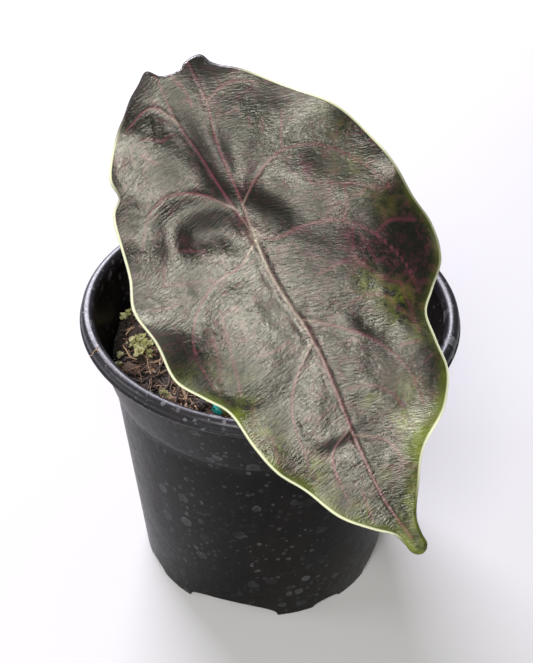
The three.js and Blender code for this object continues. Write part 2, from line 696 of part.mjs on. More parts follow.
// The stalk rises from the crown and bends forward to meet the underside of the blade squarely
function petiole() {
  const foot = new THREE.Vector3(CROWN_X, CROWN_Y, CORM_TOP + GAP);
  const headDrop = BLADE_THICKNESS + BOSS_LENGTH + GAP;
  const head = bladePoint(0, 0, bladeHeight(0, 0) - headDrop);
  const curve = new THREE.CubicBezierCurve3(
    foot,
    foot.clone().add(new THREE.Vector3(0, 0, PETIOLE_REACH)),
    head.clone().addScaledVector(bladeNormal, -PETIOLE_REACH),
    head,
  );
  const radiusAt = (share) => THREE.MathUtils.lerp(PETIOLE_BASE_RADIUS, PETIOLE_TOP_RADIUS, share)
    + SHEATH_EXTRA_RADIUS * Math.exp(-((share / SHEATH_SHARE) ** 2));
  const tube = toSolid(taperedTube(curve, PETIOLE_STEPS, PETIOLE_SIDES, radiusAt));
  return toMesh('petiole', tube, { color: 0x8f9a6a, roughness: 0.5 });
}

const plant = new THREE.Group();
plant.add(pot(), pottingMix(), corm(), petiole(), leafBlade());

export default plant;
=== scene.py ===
"""Looks of a young Alocasia azlanii in a black nursery pot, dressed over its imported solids.

Shapes are worked out in millimetres in the frame of the solids and scaled to metres at the end.
"""

import math

import bpy
import numpy as np
from mathutils import Matrix, Vector


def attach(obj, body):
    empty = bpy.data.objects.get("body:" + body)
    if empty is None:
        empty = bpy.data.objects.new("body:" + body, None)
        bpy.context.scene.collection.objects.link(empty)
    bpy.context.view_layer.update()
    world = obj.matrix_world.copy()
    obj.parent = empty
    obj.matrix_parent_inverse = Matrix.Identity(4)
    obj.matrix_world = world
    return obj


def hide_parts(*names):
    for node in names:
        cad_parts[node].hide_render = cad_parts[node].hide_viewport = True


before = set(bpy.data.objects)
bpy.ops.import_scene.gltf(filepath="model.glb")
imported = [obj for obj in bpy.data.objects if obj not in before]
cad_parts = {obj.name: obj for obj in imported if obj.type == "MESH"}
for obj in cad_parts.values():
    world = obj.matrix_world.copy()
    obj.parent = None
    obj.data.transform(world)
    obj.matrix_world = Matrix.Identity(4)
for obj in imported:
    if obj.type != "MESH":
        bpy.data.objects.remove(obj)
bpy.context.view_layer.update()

MM = 0.001

# Pot
POT_HEIGHT = 92
POT_FOOT_RADIUS = 38.7
POT_STEP_RADIUS = 44.7
STEP_Z = 70.5
STEP_WIDTH = 0.7
BELOW_STEP_Z = STEP_Z - STEP_WIDTH
COLLAR_RADIUS = 50.3
BEAD_RADIUS = 52.5
BEAD_Z = 89
BEAD_HALF_HEIGHT = 0.45
COLLAR_TOP_Z = BEAD_Z - BEAD_HALF_HEIGHT - 0.3
LIP_RADIUS = 50.3
LIP_ROLL = 1.8
POT_WALL = 1.1
FLOOR_UNDERSIDE = 6.5
FLOOR_THICKNESS = 1.2
FLOOR_TOP = FLOOR_UNDERSIDE + FLOOR_THICKNESS
DISH_RADIUS = 12
DISH_SLOPE = 6
FIRST_NOTCH_DEG = -13
WIDE_NOTCH = (14, 6)
SMALL_NOTCH = (4.7, 2)
NOTCH_REACH_Z = 8
DRAIN_HOLES = 8
DRAIN_HOLE_RADIUS = 3
DRAIN_RING_RADIUS = 29

# Arched notches in the foot ring: middle, half width and height
NOTCHES = [
    (math.radians(FIRST_NOTCH_DEG + 45 * i), *(SMALL_NOTCH if i % 2 else WIDE_NOTCH)) for i in range(8)
]

# Potting mix
MIX_LEVEL = 75
MIX_EDGE_Z = 72.5
MIX_GAP = 0.3
CROWN = (1, 4)
PRILL_RADIUS = 1.8
MOSS_TUFTS = [
    (-37.2, -2.6, 1.9), (-35.2, -3.8, 1.4), (-39, -3.6, 1.2), (-28, -22.9, 0.8), (-26.4, -24.2, 0.7),
    (-33.5, -7.5, 0.8), (-41.7, -8.1, 0.9), (-42.7, 8.9, 1.3), (-41, 11.5, 0.9), (-41.6, -12.4, 0.8),
    (20, -33, 1.3), (31, 14, 1.6), (12, 36, 1.2), (-22, 28, 1.4),
]
RIM_FIBRE = (-44.3, -25.3)
PRILL_PLACES = [(-12.9, -28.4), (24, 21), (-17, 30)]

# Bits of the mix: those of the solids, then the many finer ones
SOLID_CHIPS, SOLID_STRANDS, SOLID_CURLS = 38, 18, 6
FINE_CHIPS, SPLINTERS, CRUMBS, WALL_CRUMBS, FIBRES = 700, 460, 3000, 900, 1500

# Highest random turn in radians
ANY_TURN = 6.28

# Stalk
CORM_TOP = 73
PETIOLE_BASE_RADIUS = 2.5
PETIOLE_TOP_RADIUS = 1.6
SHEATH_EXTRA_RADIUS = 1
SHEATH_SHARE = 0.16
PETIOLE_REACH = 26

# Blade
BLADE_ATTACHMENT = np.array([-4.6, -30.6, 132])
BLADE_SLOPE = math.radians(48)
BLADE_HEADING = math.radians(28.9)
BLADE_THICKNESS = 0.9
TIP_DROOP = 3
TIP_POWER = 3
ROOF_SLOPE = 0.05
ROOF_ROUNDING = 3
PILLOW_HEIGHT = 0.9
VALLEY_WIDTH = 5.5
COSTA_VALLEY_WIDTH = 4
MARGIN_WAVE = 1.3
MARGIN_WAVE_COUNT = 7
BOSS_LENGTH = 2.4
BOSS_RADIUS = 3.4
BLADE_ROWS = 360
BLADE_COLUMNS = 76
WRINKLE_SWEEP = 0.25
SHEET_THICKNESS = 0.62
EDGE_THINNING = 0.12
EDGE_DROP = 0.35
RIM_BULGE = 0.16

# Distances of the outermost columns from the blade's edge
RIM_COLUMNS = (2.0, 1.55, 1.2, 0.9, 0.66, 0.46, 0.3, 0.15, 0.0)

# Ribs below the blade: radius and depth, each with its loss towards the vein's end
MIDRIB_RIB = ((1.35, 0.9), (1.7, 1.3))
SIDE_RIB = ((1.0, 0.55), (1.1, 0.8))
COSTA_RIB = ((1.2, 0.7), (1.3, 0.9))

NOTCH = (-41.3, 1.3)
TIP = (81.3, 1.6)
RIGHT_EDGE = [
    (-41.5, 2.6), (-42.3, 3.4), (-43.2, 6.2), (-43, 8.3), (-40.5, 9.5), (-38.8, 11), (-35.5, 14.8),
    (-24.9, 24.7), (-16, 31.8), (-6.7, 35.1), (7.3, 37), (15.4, 38.6), (23.9, 36.6), (29.5, 31.2),
    (33.5, 27.3), (40, 26.3), (47.2, 25.7), (53.8, 21.1), (59.9, 12.5), (66.9, 7.9), (73.3, 4),
    (77.1, 3.4), (79.6, 3.5), (80.9, 2.6),
]
LEFT_EDGE = [
    (-41.3, 0.3), (-42, -2.4), (-44.7, -4.9), (-43.1, -7.8), (-41.2, -10.7), (-37.4, -14.2),
    (-34.4, -17.3), (-26, -23.5), (-21.3, -23.5), (-18.6, -26.2), (-11.1, -28), (-3.7, -29.6),
    (3.5, -31.9), (12, -30.8), (21.6, -30.9), (28.5, -26.5), (33.5, -23.1), (42.7, -21.5),
    (50.7, -19.3), (57.1, -15.5), (65.6, -11.3), (71.7, -5.6), (74.8, -2.1), (77.6, -0.9), (79.7, -0.4),
    (80.9, 0.6),
]
MIDRIB = [
    (0, 0), (9.5, -0.5), (17, 0), (24, 1), (33, 1.2), (41.5, 0.5), (54.5, -0.5), (67.5, -0.6),
    (77, 1),
]
BACK_COSTAE = [
    [(0, 0), (-10.5, -1.6), (-22, -2.7), (-31.5, -3.9), (-43, -3.4)],
    [(0, 0), (-9.7, 1.2), (-22.4, 2.2), (-32, 4.3), (-42, 4.6)],
]
SIDE_VEINS = [
    [(0.5, 0.5), (3.2, 4), (3.4, 11), (6.1, 19.3), (12.5, 25), (20.7, 28), (28, 28)],
    [(22.3, 1.2), (27.9, 8.3), (34.3, 14), (43.4, 17.6), (51.9, 16.7)],
    [(50.5, -0.3), (55.1, 5.9), (61.7, 7.4)],
    [(2, -0.8), (5.2, -5.5), (6.2, -12.7), (10.6, -19.5), (17.4, -23.6), (27.5, -23.6)],
    [(28, 0.6), (34.3, -6.7), (40.4, -10.5), (52.5, -12.4)],
    [(48.7, -0.4), (52.4, -6.4), (62.6, -8)],
    [(-7, -1.2), (-13.5, -6.9), (-16.3, -12.9), (-14.7, -18.6), (-8, -24)],
    [(-31, -3.9), (-36.3, -7.2), (-36.4, -9.6), (-33.8, -15.6)],
    [(-7, 1), (-11.3, 6.5), (-14.2, 13.8), (-12.2, 22.1), (-5, 28.9), (4.3, 33)],
    [(-32, 4.4), (-33.9, 10.7), (-30.8, 17)],
]

# Fine veins between the main ones
FINE_VEINS = [
    [(-28.6, -5.8), (-28.7, -7.3), (-28.2, -8.8), (-29.6, -10.7), (-30.7, -12.7)],
    [(-27.2, -14.3), (-25.6, -13.1), (-24.1, -12.2)],
    [(-42.6, -0.9), (-39.5, 0.2), (-36, 1.1), (-32.6, 0.8)],
    [(-27.5, 7.3), (-27, 9.7)],
    [(-24.1, 11.2), (-22.1, 10.5)],
    [(-22.3, 13.5), (-20, 12.4)],
    [(-22, 18.6), (-17.3, 15.9), (-14.9, 15)],
    [(-8.1, 17), (-4.5, 17.3), (-2.7, 21.2), (-1, 23.7), (-0.2, 25.9), (1.8, 28.1), (4.6, 33.1)],
    [(-1, 23.7), (3.1, 22.3), (6.3, 20)],
    [(2.6, 24.4), (2.4, 27.2)],
    [(12.2, 25.1), (10.9, 29.3), (13.2, 35.1)],
    [(0, 18.6), (-2.4, 21.4)],
    [(8.8, 21), (13.7, 18.7), (16.3, 18.6)],
    [(10.3, 21.9), (13.7, 22.1), (18.4, 22.2)],
    [(9.7, 9), (12, 11.4)],
    [(14.9, 8.9), (14.7, 13.5), (15.1, 17.2)],
    [(12.1, 16.9), (14.3, 18), (16.3, 18.6), (19.3, 20.2), (22.6, 22.2), (24.8, 24.9)],
    [(23.9, 12.8), (23.9, 16.9), (25.9, 20.4), (29.4, 21.6), (32.4, 23.3), (36.5, 23.8)],
    [(24.8, 24.9), (27.3, 24.6), (32.3, 24.3)],
    [(41, 3.3), (41.7, 6.8), (42.9, 9), (46.5, 11.8), (50, 12.5)],
    [(37.3, 18.4), (38.3, 22.3)],
    [(42.8, -16.9), (48.4, -17.8)],
    [(52.7, -7.2), (57, -7.8), (59.4, -8.7)],
    [(63, -4.3), (69.8, -5.1)],
    [(-4.4, -17.5), (-1.6, -11.3)],
    [(1.3, -23.5), (2.8, -19.8), (4.1, -16), (5.5, -12.3)],
    [(-2.6, -20.9), (0.4, -22.7)],
    [(12.2, -14.3), (16.9, -15.4), (21.5, -16.4), (28.4, -18), (31.2, -18.7)],
    [(17.1, -18.7), (21.2, -19.5), (26.6, -21.5)],
    [(25.5, -11), (25.9, -7.1), (25.3, -3.5)],
    [(5.4, -28.1), (6.4, -24.8), (6.6, -22.4)],
]

# Pressed hollows and turned-down margins: along, across, depth, the two reaches
HOLLOWS = [
    (21, 38.5, 5.5, 10.5, 9),
    (25, -32, 4, 9, 6.5),
    (-47, -13, 4, 5.5, 6.5),
    (-44, 12, 2.8, 6, 5.5),
    (-19, -29.5, 1.6, 4.5, 4.5),
    (42, 30, 2.5, 8, 6),
    (62, 20, -3, 10, 10),
    (-20, 0.3, 1.2, 11, 3.2),
]

# Steep falls: along, across, drop, reach down the fall, reach beside it, turn from the leaf's length
FALLS = [
    (-7.5, -7.5, -2.9, 5.2, 6.5, -12),
    (-7, -14, 1.5, 4, 6.5, -115),
    (-5, 5.6, -3, 5.2, 6.5, 121),
    (50.3, -4.4, -0.7, 2.2, 4, 0),
    (30, 13, -0.7, 2.9, 5.5, 121),
]

# Painted shade: fields where the skin's colour is darkened to stand for shade and its roughness raised:
# along, across, the two reaches, strength and the share of it that is matt
PAINTED_SHADE_AREAS = [
    (-7.5, -8, 5.5, 6.5, 1, 1), (-4, 6.2, 6, 5, 1, 1), (50.3, -4.5, 1.8, 3.2, 0.9, 1),
    (12, 11, 10, 9, 0.5, 1), (-22, 7, 13, 5.5, 0.6, 1), (-42, -9, 6, 8, 0.9, 0.5),
    (-41, 9, 7, 7, 0.9, 1), (-33, 11, 4, 4, 0.4, 1), (18, 31, 14, 7, 0.9, 0.3),
    (22, -28, 8, 4.5, 0.8, 0.3), (42, 22, 9, 4, 0.5, 1), (37, 21.5, 4, 3.5, 0.6, 1),
    (-15, -25, 5, 4.5, 0.7, 0.7), (34, -8, 7, 5, 0.25, 1), (7, 25, 7, 5, 0.7, 0.7),
    (-21, -10, 6, 5, 0.8, 1), (0, 14, 6, 6, 0.55, 1), (4, -17, 7, 6, 0.45, 1),
    (27, -17.5, 7, 5.5, 0.75, 1), (40, -15, 6, 4.5, 0.6, 1), (62, -10, 6, 5, 0.6, 1),
    (77, 1.5, 5, 4, 0.6, 1), (37, 4, 7, 3.5, 0.4, 1), (51, 2, 8, 4, 0.35, 1),
]

# Painted highlights: pale fields on the skin that stand for reflections: along, across, the two reaches,
# strength
PAINTED_HIGHLIGHT_AREAS = [
    (-25, 25.5, 7, 6, 0.95), (-28, 17, 4, 3.5, 0.4), (3, -29, 7, 3.5, 0.85), (43, 14, 7, 4, 0.5),
    (-6, 25, 5, 7, 0.3), (16, -3.6, 8, 2.2, 0.5), (54, 17, 6, 4, 0.45),
]

# Soft olive patches in the dark leaf: along, across, radius, strength
OLIVE_PATCHES = [
    (-4, 27.9, 3, 0.4), (7, 30.2, 3.5, 0.45), (-19.1, 26.9, 2.5, 0.3), (21.6, 18.4, 3, 0.8),
    (27.7, 22.8, 3.4, 0.9), (31.5, 20.5, 2.6, 0.7), (36.4, 22.3, 2.6, 0.7), (47, 14.9, 3.4, 0.8),
    (44.7, 6.9, 2.6, 0.4), (27.6, 19.6, 2.6, 0.6), (52.3, 12, 3, 0.9), (58.2, 12.1, 2.8, 0.9),
    (39.9, -17.3, 3, 0.8), (33, -18.5, 3.4, 0.6), (53.8, -11.5, 3, 0.7), (60.4, -10.5, 2.6, 0.7),
    (61.8, 1.6, 2.4, 0.3), (25, -20, 3.5, 0.45), (28, -16, 3, 0.4), (22, -27.5, 2.6, 0.6),
    (45, -17, 3, 0.7), (78, 1.6, 6.5, 1.0), (67, -7, 3, 0.6), (69, 6, 3.5, 0.7), (57, -14, 3, 0.7),
    (35, -21, 3, 0.8), (-6, 24, 3.5, 0.25), (-13, 28, 3, 0.25), (3, 27, 3, 0.35),
]

DOWN_SLOPE = np.array([0, -math.cos(BLADE_SLOPE), -math.sin(BLADE_SLOPE)])
LEVEL_ACROSS = np.array([1.0, 0, 0])
ALONG = math.sin(BLADE_HEADING) * LEVEL_ACROSS + math.cos(BLADE_HEADING) * DOWN_SLOPE
ACROSS = math.cos(BLADE_HEADING) * LEVEL_ACROSS - math.sin(BLADE_HEADING) * DOWN_SLOPE
NORMAL = np.array([0, -math.sin(BLADE_SLOPE), math.cos(BLADE_SLOPE)])


# Numbers

def seeded_random(seed):
    """The same repeatable draws from 0 to 1 as the solids use."""
    state = seed
    mask = 0xFFFFFFFF

    def draw():
        nonlocal state
        state = (state + 0x6D2B79F5) & mask
        mixed = ((state ^ (state >> 15)) * (1 | state)) & mask
        mixed = ((mixed + (mixed ^ (mixed >> 7)) * (61 | mixed)) & mask) ^ mixed
        return ((mixed ^ (mixed >> 14)) & mask) / 4294967296

    return draw


def smoothstep(low, high, x):
    t = np.clip((x - low) / (high - low), 0, 1)
    return t * t * (3 - 2 * t)


def bell(x, width):
    return np.exp(-(x / width) ** 2)


def wrapped(angle):
    """An angle brought between minus and plus half a turn."""
    return (angle + math.pi) % (2 * math.pi) - math.pi


def round_angles(count):
    return 2 * math.pi * np.arange(count) / count


def noise2(x, y, seed=0):
    """Smooth gradient noise, about -1 to 1, for whole arrays."""
    x, y = np.broadcast_arrays(np.asarray(x, float), np.asarray(y, float))
    xi, yi = np.floor(x).astype(np.int64), np.floor(y).astype(np.int64)
    xf, yf = x - xi, y - yi

    def corner(dx, dy):
        h = ((xi + dx) * 374761393 + (yi + dy) * 668265263 + seed * 974634777) & 0xFFFFFFFF
        h = ((h ^ (h >> 13)) * 1274126177) & 0xFFFFFFFF
        angle = ((h ^ (h >> 16)) & 0xFFFF) * (2 * math.pi / 65536)
        return np.cos(angle) * (xf - dx) + np.sin(angle) * (yf - dy)

    u, v = (f ** 3 * (f * (f * 6 - 15) + 10) for f in (xf, yf))
    low, high = (corner(0, dy) * (1 - u) + corner(1, dy) * u for dy in (0, 1))
    return 1.5 * (low * (1 - v) + high * v)


def smooth_line(points, count):
    """Points at equal steps along a centripetal Catmull-Rom curve."""
    p = np.asarray(points, float)
    padded = np.vstack([2 * p[0] - p[1], p, 2 * p[-1] - p[-2]])
    t = np.linspace(0, 1, 41)[:-1, None]
    pieces = []
    for a, b, c, d in zip(padded, padded[1:], padded[2:], padded[3:]):
        k0, k1, k2 = (max(np.sum((y - x) ** 2) ** 0.25, 1e-4) for x, y in ((a, b), (b, c), (c, d)))
        m0 = k1 * ((b - a) / k0 - (c - a) / (k0 + k1) + (c - b) / k1)
        m1 = k1 * ((c - b) / k1 - (d - b) / (k1 + k2) + (d - c) / k2)
        bent = (3 * (c - b) - 2 * m0 - m1) * t ** 2 + (2 * (b - c) + m0 + m1) * t ** 3
        pieces.append(b + m0 * t + bent)
    fine = np.vstack([*pieces, p[-1:]])
    run = np.r_[0, np.cumsum(np.linalg.norm(np.diff(fine, axis=0), axis=1))]
    at = np.linspace(0, run[-1], count)
    return np.stack([np.interp(at, run, fine[:, k]) for k in range(fine.shape[1])], axis=-1)


def reach_of_line(u, v, line):
    """Distance to a line, length along it to the nearest point, and its whole length."""
    best = np.full(u.shape, 1e9)
    run = np.zeros(u.shape)
    start = 0.0
    for a, b in zip(line[:-1], line[1:]):
        du, dv = b - a
        length = math.hypot(du, dv)
        t = np.clip(((u - a[0]) * du + (v - a[1]) * dv) / length ** 2, 0, 1)
        away = np.hypot(u - a[0] - t * du, v - a[1] - t * dv)
        closer = away < best
        best = np.where(closer, away, best)
        run = np.where(closer, start + t * length, run)
        start += length
    return best, run, start


# Meshes

def put(name, data):
    """A new object in the scene."""
    thing = bpy.data.objects.new(name, data)
    bpy.context.scene.collection.objects.link(thing)
    return thing


def make_piece(name, points, faces, materials, replaces=(), smooth=True, face_materials=None,
               values=None):
    """A mesh piece in metres from points in millimetres, riding on the part."""
    mesh = bpy.data.meshes.new(name)
    mesh.from_pydata((np.asarray(points) * MM).tolist(), [], faces)
    mesh.validate()
    for key, data in (values or {}).items():
        data = np.asarray(data, np.float32)
        kind, field = ("FLOAT_VECTOR", "vector") if data.ndim == 2 else ("FLOAT", "value")
        mesh.attributes.new(key, kind, "POINT").data.foreach_set(field, data.ravel())
    for material in materials:
        mesh.materials.append(material)
    mesh.polygons.foreach_set("use_smooth", [smooth] * len(mesh.polygons))
    if face_materials is not None:
        mesh.polygons.foreach_set("material_index", face_materials)
    mesh.update()
    piece = put(name, mesh)
    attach(piece, "root")
    if replaces:
        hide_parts(*replaces)
    return piece


def grid_faces(rows, columns, start=0, closed=False):
    """Quads of a grid of points, with the last column joined to the first if it is closed."""
    row = np.arange(rows - 1)[:, None] * columns
    column = np.arange(columns if closed else columns - 1)[None, :]
    following = (column + 1) % columns
    quads = [row + column, row + following, row + columns + following, row + columns + column]
    return np.stack(quads, -1).reshape(-1, 4) + start


def stacked_faces(rings, sides, start=0):
    """Faces round a stack of rings, closed by one face at either end."""
    last = start + (rings - 1) * sides
    ends = [list(range(start, start + sides))[::-1], list(range(last, last + sides))]
    return grid_faces(rings, sides, start, closed=True).tolist() + ends


def icosphere(level):
    """Points and faces of a unit ball of triangles."""
    g = (1 + 5 ** 0.5) / 2
    points = [(-1, g, 0), (1, g, 0), (-1, -g, 0), (1, -g, 0), (0, -1, g), (0, 1, g),
              (0, -1, -g), (0, 1, -g), (g, 0, -1), (g, 0, 1), (-g, 0, -1), (-g, 0, 1)]
    points = [np.array(p) / math.hypot(1, g) for p in points]
    faces = [(0, 11, 5), (0, 5, 1), (0, 1, 7), (0, 7, 10), (0, 10, 11), (1, 5, 9), (5, 11, 4),
             (11, 10, 2), (10, 7, 6), (7, 1, 8), (3, 9, 4), (3, 4, 2), (3, 2, 6), (3, 6, 8),
             (3, 8, 9), (4, 9, 5), (2, 4, 11), (6, 2, 10), (8, 6, 7), (9, 8, 1)]
    middles = {}

    def middle(a, b):
        key = (min(a, b), max(a, b))
        if key not in middles:
            between = points[a] + points[b]
            points.append(between / np.linalg.norm(between))
            middles[key] = len(points) - 1
        return middles[key]

    for _ in range(level):
        split = []
        for a, b, c in faces:
            ab, bc, ca = middle(a, b), middle(b, c), middle(c, a)
            split += [(a, ab, ca), (b, bc, ab), (c, ca, bc), (ab, bc, ca)]
        faces = split
    return np.array(points), np.array(faces)


class Heap:
    """Many small bits gathered into one mesh, each with its own tint."""

    def __init__(self):
        self.points, self.faces, self.tints, self.count = [], [], [], 0

    def add(self, points, faces, tint):
        self.points.append(points)
        self.faces.extend([[int(p) + self.count for p in face] for face in faces])
        self.tints.append(np.full(len(points), tint))
        self.count += len(points)

    def piece(self, name, material, smooth):
        values = {"tint": np.concatenate(self.tints)}
        make_piece(name, np.vstack(self.points), self.faces, [material],
                   smooth=smooth, values=values)


def tube(path, radii, sides):
    """Closed tube along a path of points, with its radius at each."""
    path = np.asarray(path, float)
    tangent = np.gradient(path, axis=0)
    tangent /= np.linalg.norm(tangent, axis=1)[:, None]
    normal = np.cross(tangent[0], [0.3, 0.5, 0.81])
    rings = []
    cosines, sines = np.cos(round_angles(sides))[:, None], np.sin(round_angles(sides))[:, None]
    for centre, along, radius in zip(path, tangent, np.broadcast_to(radii, len(path))):
        normal = normal - along * (normal @ along)
        normal /= np.linalg.norm(normal)
        rings.append(centre + radius * (cosines * normal + sines * np.cross(along, normal)))
    points = np.vstack([*rings, path[:1], path[-1:]])
    faces = grid_faces(len(path), sides, closed=True).tolist()
    last = (len(path) - 1) * sides
    for side in range(sides):
        following = (side + 1) % sides
        faces.append((following, side, len(points) - 2))
        faces.append((last + side, last + following, len(points) - 1))
    return points, faces


# Materials

# Ranges that values are carried from
WHOLE = (0, 1)
MIDDLE = (0.3, 0.7)

# Pot: dark and light plastic, colour of the water spots, specular level
WALL_LOOK = ((0.0025, 0.0025, 0.003), (0.005, 0.0045, 0.004), (0.092, 0.093, 0.097), 0.09)
# The rim's plastic is painted lighter and bluer than the wall's: painted reflection
RIM_LOOK_PAINTED_LIGHTER = ((0.007, 0.007, 0.009), (0.012, 0.012, 0.015), (0.22, 0.22, 0.23), 0.26)
RIM_FILM = 0.1
# Brown of the dust film, which also stands for a painted sheen on the left of the wall
DUST_AND_SHEEN = (0.075, 0.053, 0.038)
SPOT_SHARE = 0.6
SPOT_SIZES = (0.12, 0.42)


class Skin:
    """A material in the making: its nodes, its shader and the place on it in millimetres."""

    def __init__(self, name):
        self.material = bpy.data.materials.new(name)
        self.material.use_nodes = True
        self.tree = self.material.node_tree
        self.shader = self.tree.nodes["Principled BSDF"]
        self.metres = self.node("TexCoord").outputs["Object"]
        scaled = self.node("VectorMath", {0: self.metres, "Scale": 1 / MM}, operation="SCALE")
        self.place = scaled.outputs[0]

    def feed(self, socket, value):
        """Links a socket to another one, or sets its value."""
        if isinstance(value, bpy.types.NodeSocket):
            self.tree.links.new(value, socket)
        else:
            socket.default_value = (*value, 1) if socket.type == "RGBA" else value

    def node(self, kind, inputs=None, **settings):
        made = self.tree.nodes.new("ShaderNode" + kind)
        for key, value in settings.items():
            setattr(made, key, value)
        for key, value in (inputs or {}).items():
            self.feed(made.inputs[key], value)
        return made

    def calculated(self, operation, a, b):
        return self.node("Math", {0: a, 1: b}, operation=operation).outputs[0]

    def times(self, a, b):
        return self.calculated("MULTIPLY", a, b)

    def plus(self, a, b):
        return self.calculated("ADD", a, b)

    def higher(self, a, b):
        return self.calculated("MAXIMUM", a, b)

    def spread(self, value, given, wanted):
        """A value carried from one range over to another."""
        inputs = {0: value, 1: given[0], 2: given[1], 3: wanted[0], 4: wanted[1]}
        return self.node("MapRange", inputs).outputs[0]

    def ramp(self, value, *stops):
        """Colour ramp through stops of a position and a colour or grey."""
        made = self.node("ValToRGB", {0: value})
        elements = made.color_ramp.elements
        while len(elements) < len(stops):
            elements.new(0.5)
        for element, (position, colour) in zip(elements, stops):
            element.position = position
            element.color = (*colour, 1) if isinstance(colour, tuple) else (colour, colour, colour, 1)
        return made.outputs[0]

    def layered(self, colour, *layers):
        """A colour under layers, each a share and the colour that it brings."""
        for share, over in layers:
            inputs = {0: share, 6: colour, 7: over}
            colour = self.node("Mix", inputs, data_type="RGBA", clamp_factor=True).outputs[2]
        return colour

    def noise(self, scale, detail=4, roughness=0.55, distortion=0, place=None, stretch=(1, 1, 1),
              turn=(0, 0, 0)):
        place = self.place if place is None else place
        if stretch != (1, 1, 1):
            place = self.node("Mapping", {"Vector": place, "Rotation": turn, "Scale": stretch}).outputs[0]
        return self.node("TexNoise", {"Vector": place, "Scale": scale, "Detail": detail,
                                      "Roughness": roughness, "Distortion": distortion}).outputs[0]

    def wobbled(self, place, scale, reach):
        """A place pushed about by noise."""
        push = self.node("TexNoise", {"Vector": place, "Scale": scale, "Detail": 3}).outputs[1]
        inputs = {0: push, 1: (reach, reach, reach), 2: place}
        return self.node("VectorMath", inputs, operation="MULTIPLY_ADD").outputs[0]

    def mask(self, name, output="Fac"):
        """A value that the mesh carries at its points."""
        return self.node("Attribute", attribute_name=name).outputs[output]

    def finished(self, colour, roughness, bumps=(), others=None):
        """The material, with bumps (height, strength, depth in mm) one over the other."""
        looks = {}
        for height, strength, depth in bumps:
            inputs = {"Height": height, "Strength": strength, "Distance": depth * MM, **looks}
            looks = {"Normal": self.node("Bump", inputs).outputs[0]}
        looks.update({"Base Color": colour, "Roughness": roughness, **(others or {})})
        for key, value in looks.items():
            self.feed(self.shader.inputs[key], value)
        return self.material


def water_spots(skin, scale, seed_offset):
    """Dried drops in some cells of a scattered pattern: a film with a paler outline."""
    offset = (seed_offset, 0, 2 * seed_offset)
    moved = skin.node("VectorMath", {0: skin.place, 1: offset}, operation="ADD").outputs[0]
    bent = skin.wobbled(moved, scale * 3, 0.3 / scale)
    cells = skin.node("TexVoronoi", {"Vector": bent, "Scale": scale, "Randomness": 1.0}).outputs
    chance, size, strength = skin.node("SeparateColor", {0: cells["Color"]}).outputs
    present = skin.calculated("GREATER_THAN", chance, 1 - SPOT_SHARE)
    nearness = skin.calculated("DIVIDE", cells["Distance"], skin.spread(size, WHOLE, SPOT_SIZES))
    drop = skin.ramp(nearness, (0, 0.5), (0.6, 0.55), (0.84, 1), (0.95, 0.5), (1, 0))
    return skin.times(skin.times(drop, present), skin.spread(strength, WHOLE, (0.35, 1)))


def wall_dust_and_sheen(skin):
    """Share of the dust film and of a painted sheen: a little dust all over, and on the outside of the wall
    a brown painted sheen, strongest on the left and near the top.
    """
    across, _, height = skin.node("SeparateXYZ", {0: skin.place}).outputs
    corner = skin.times(skin.spread(across, (-22, -46), WHOLE), skin.spread(height, (30, 72), WHOLE))
    normal = skin.node("NewGeometry").outputs["Normal"]
    facing = skin.node("VectorMath", {0: normal, 1: skin.place}, operation="DOT_PRODUCT")
    outside = skin.spread(facing.outputs["Value"], (0, 10), (0.05, 0.36))
    return skin.plus(skin.times(corner, outside), 0.05)


def pot_material(name, on_rim):
    """Black plastic with a film of dust, a brown painted sheen on the left of the wall and water spots,
    glossier and more scratched on the rim, where the plastic is painted lighter and bluer as a painted
    reflection.
    """
    skin = Skin(name)
    # On the rim the plastic is painted lighter and bluer: painted reflection
    dark, light, spotted, specular = RIM_LOOK_PAINTED_LIGHTER if on_rim else WALL_LOOK
    # Dust alone on the rim; on the wall, dust and a painted sheen
    dust_and_sheen_share = RIM_FILM if on_rim else wall_dust_and_sheen(skin)
    film =skin.ramp(skin.noise(0.07, 6, 0.65, 0.6, stretch=(1, 1, 0.5)), (0.42, 0), (0.75, 1))
    spots = skin.higher(water_spots(skin, 0.2, 0), water_spots(skin, 0.55, 31))
    spots = skin.times(spots, skin.ramp(skin.noise(0.05, 3), (0.4, 0.2), (0.56, 1)))
    spots = skin.higher(spots, skin.ramp(skin.noise(1.9, 2, 0.5), (0.72, 0), (0.76, 0.8)))
    if on_rim:
        scratches = skin.noise(1.1, 3, 0.6, 0.8, stretch=(1, 0.35, 1), turn=(0.4, 0.2, 0.9))
        spots = skin.higher(spots, skin.ramp(scratches, (0.66, 0), (0.72, 1)))
    spots = skin.times(spots, skin.ramp(skin.noise(1.3, 4, 0.7), (0.36, 0.45), (0.56, 1)))
    colour = skin.layered(
        skin.ramp(skin.noise(0.045, 5, 0.6), (0.35, dark), (0.7, light)),
        (skin.times(film, dust_and_sheen_share), DUST_AND_SHEEN),
        (skin.times(spots, 0.9), spotted),
    )
    rough = skin.spread(skin.noise(0.9, 4, 0.6), MIDDLE, (0.26, 0.38))
    rough = skin.plus(skin.plus(rough, skin.times(spots, 0.3)), skin.times(film, 0.1))
    bumps = [(skin.noise(0.12, 3), 0.25, 0.6), (skin.noise(2.4, 3), 0.12, 0.08), (spots, 0.2, 0.05)]
    return skin.finished(colour, rough, bumps, {"Specular IOR Level": specular})


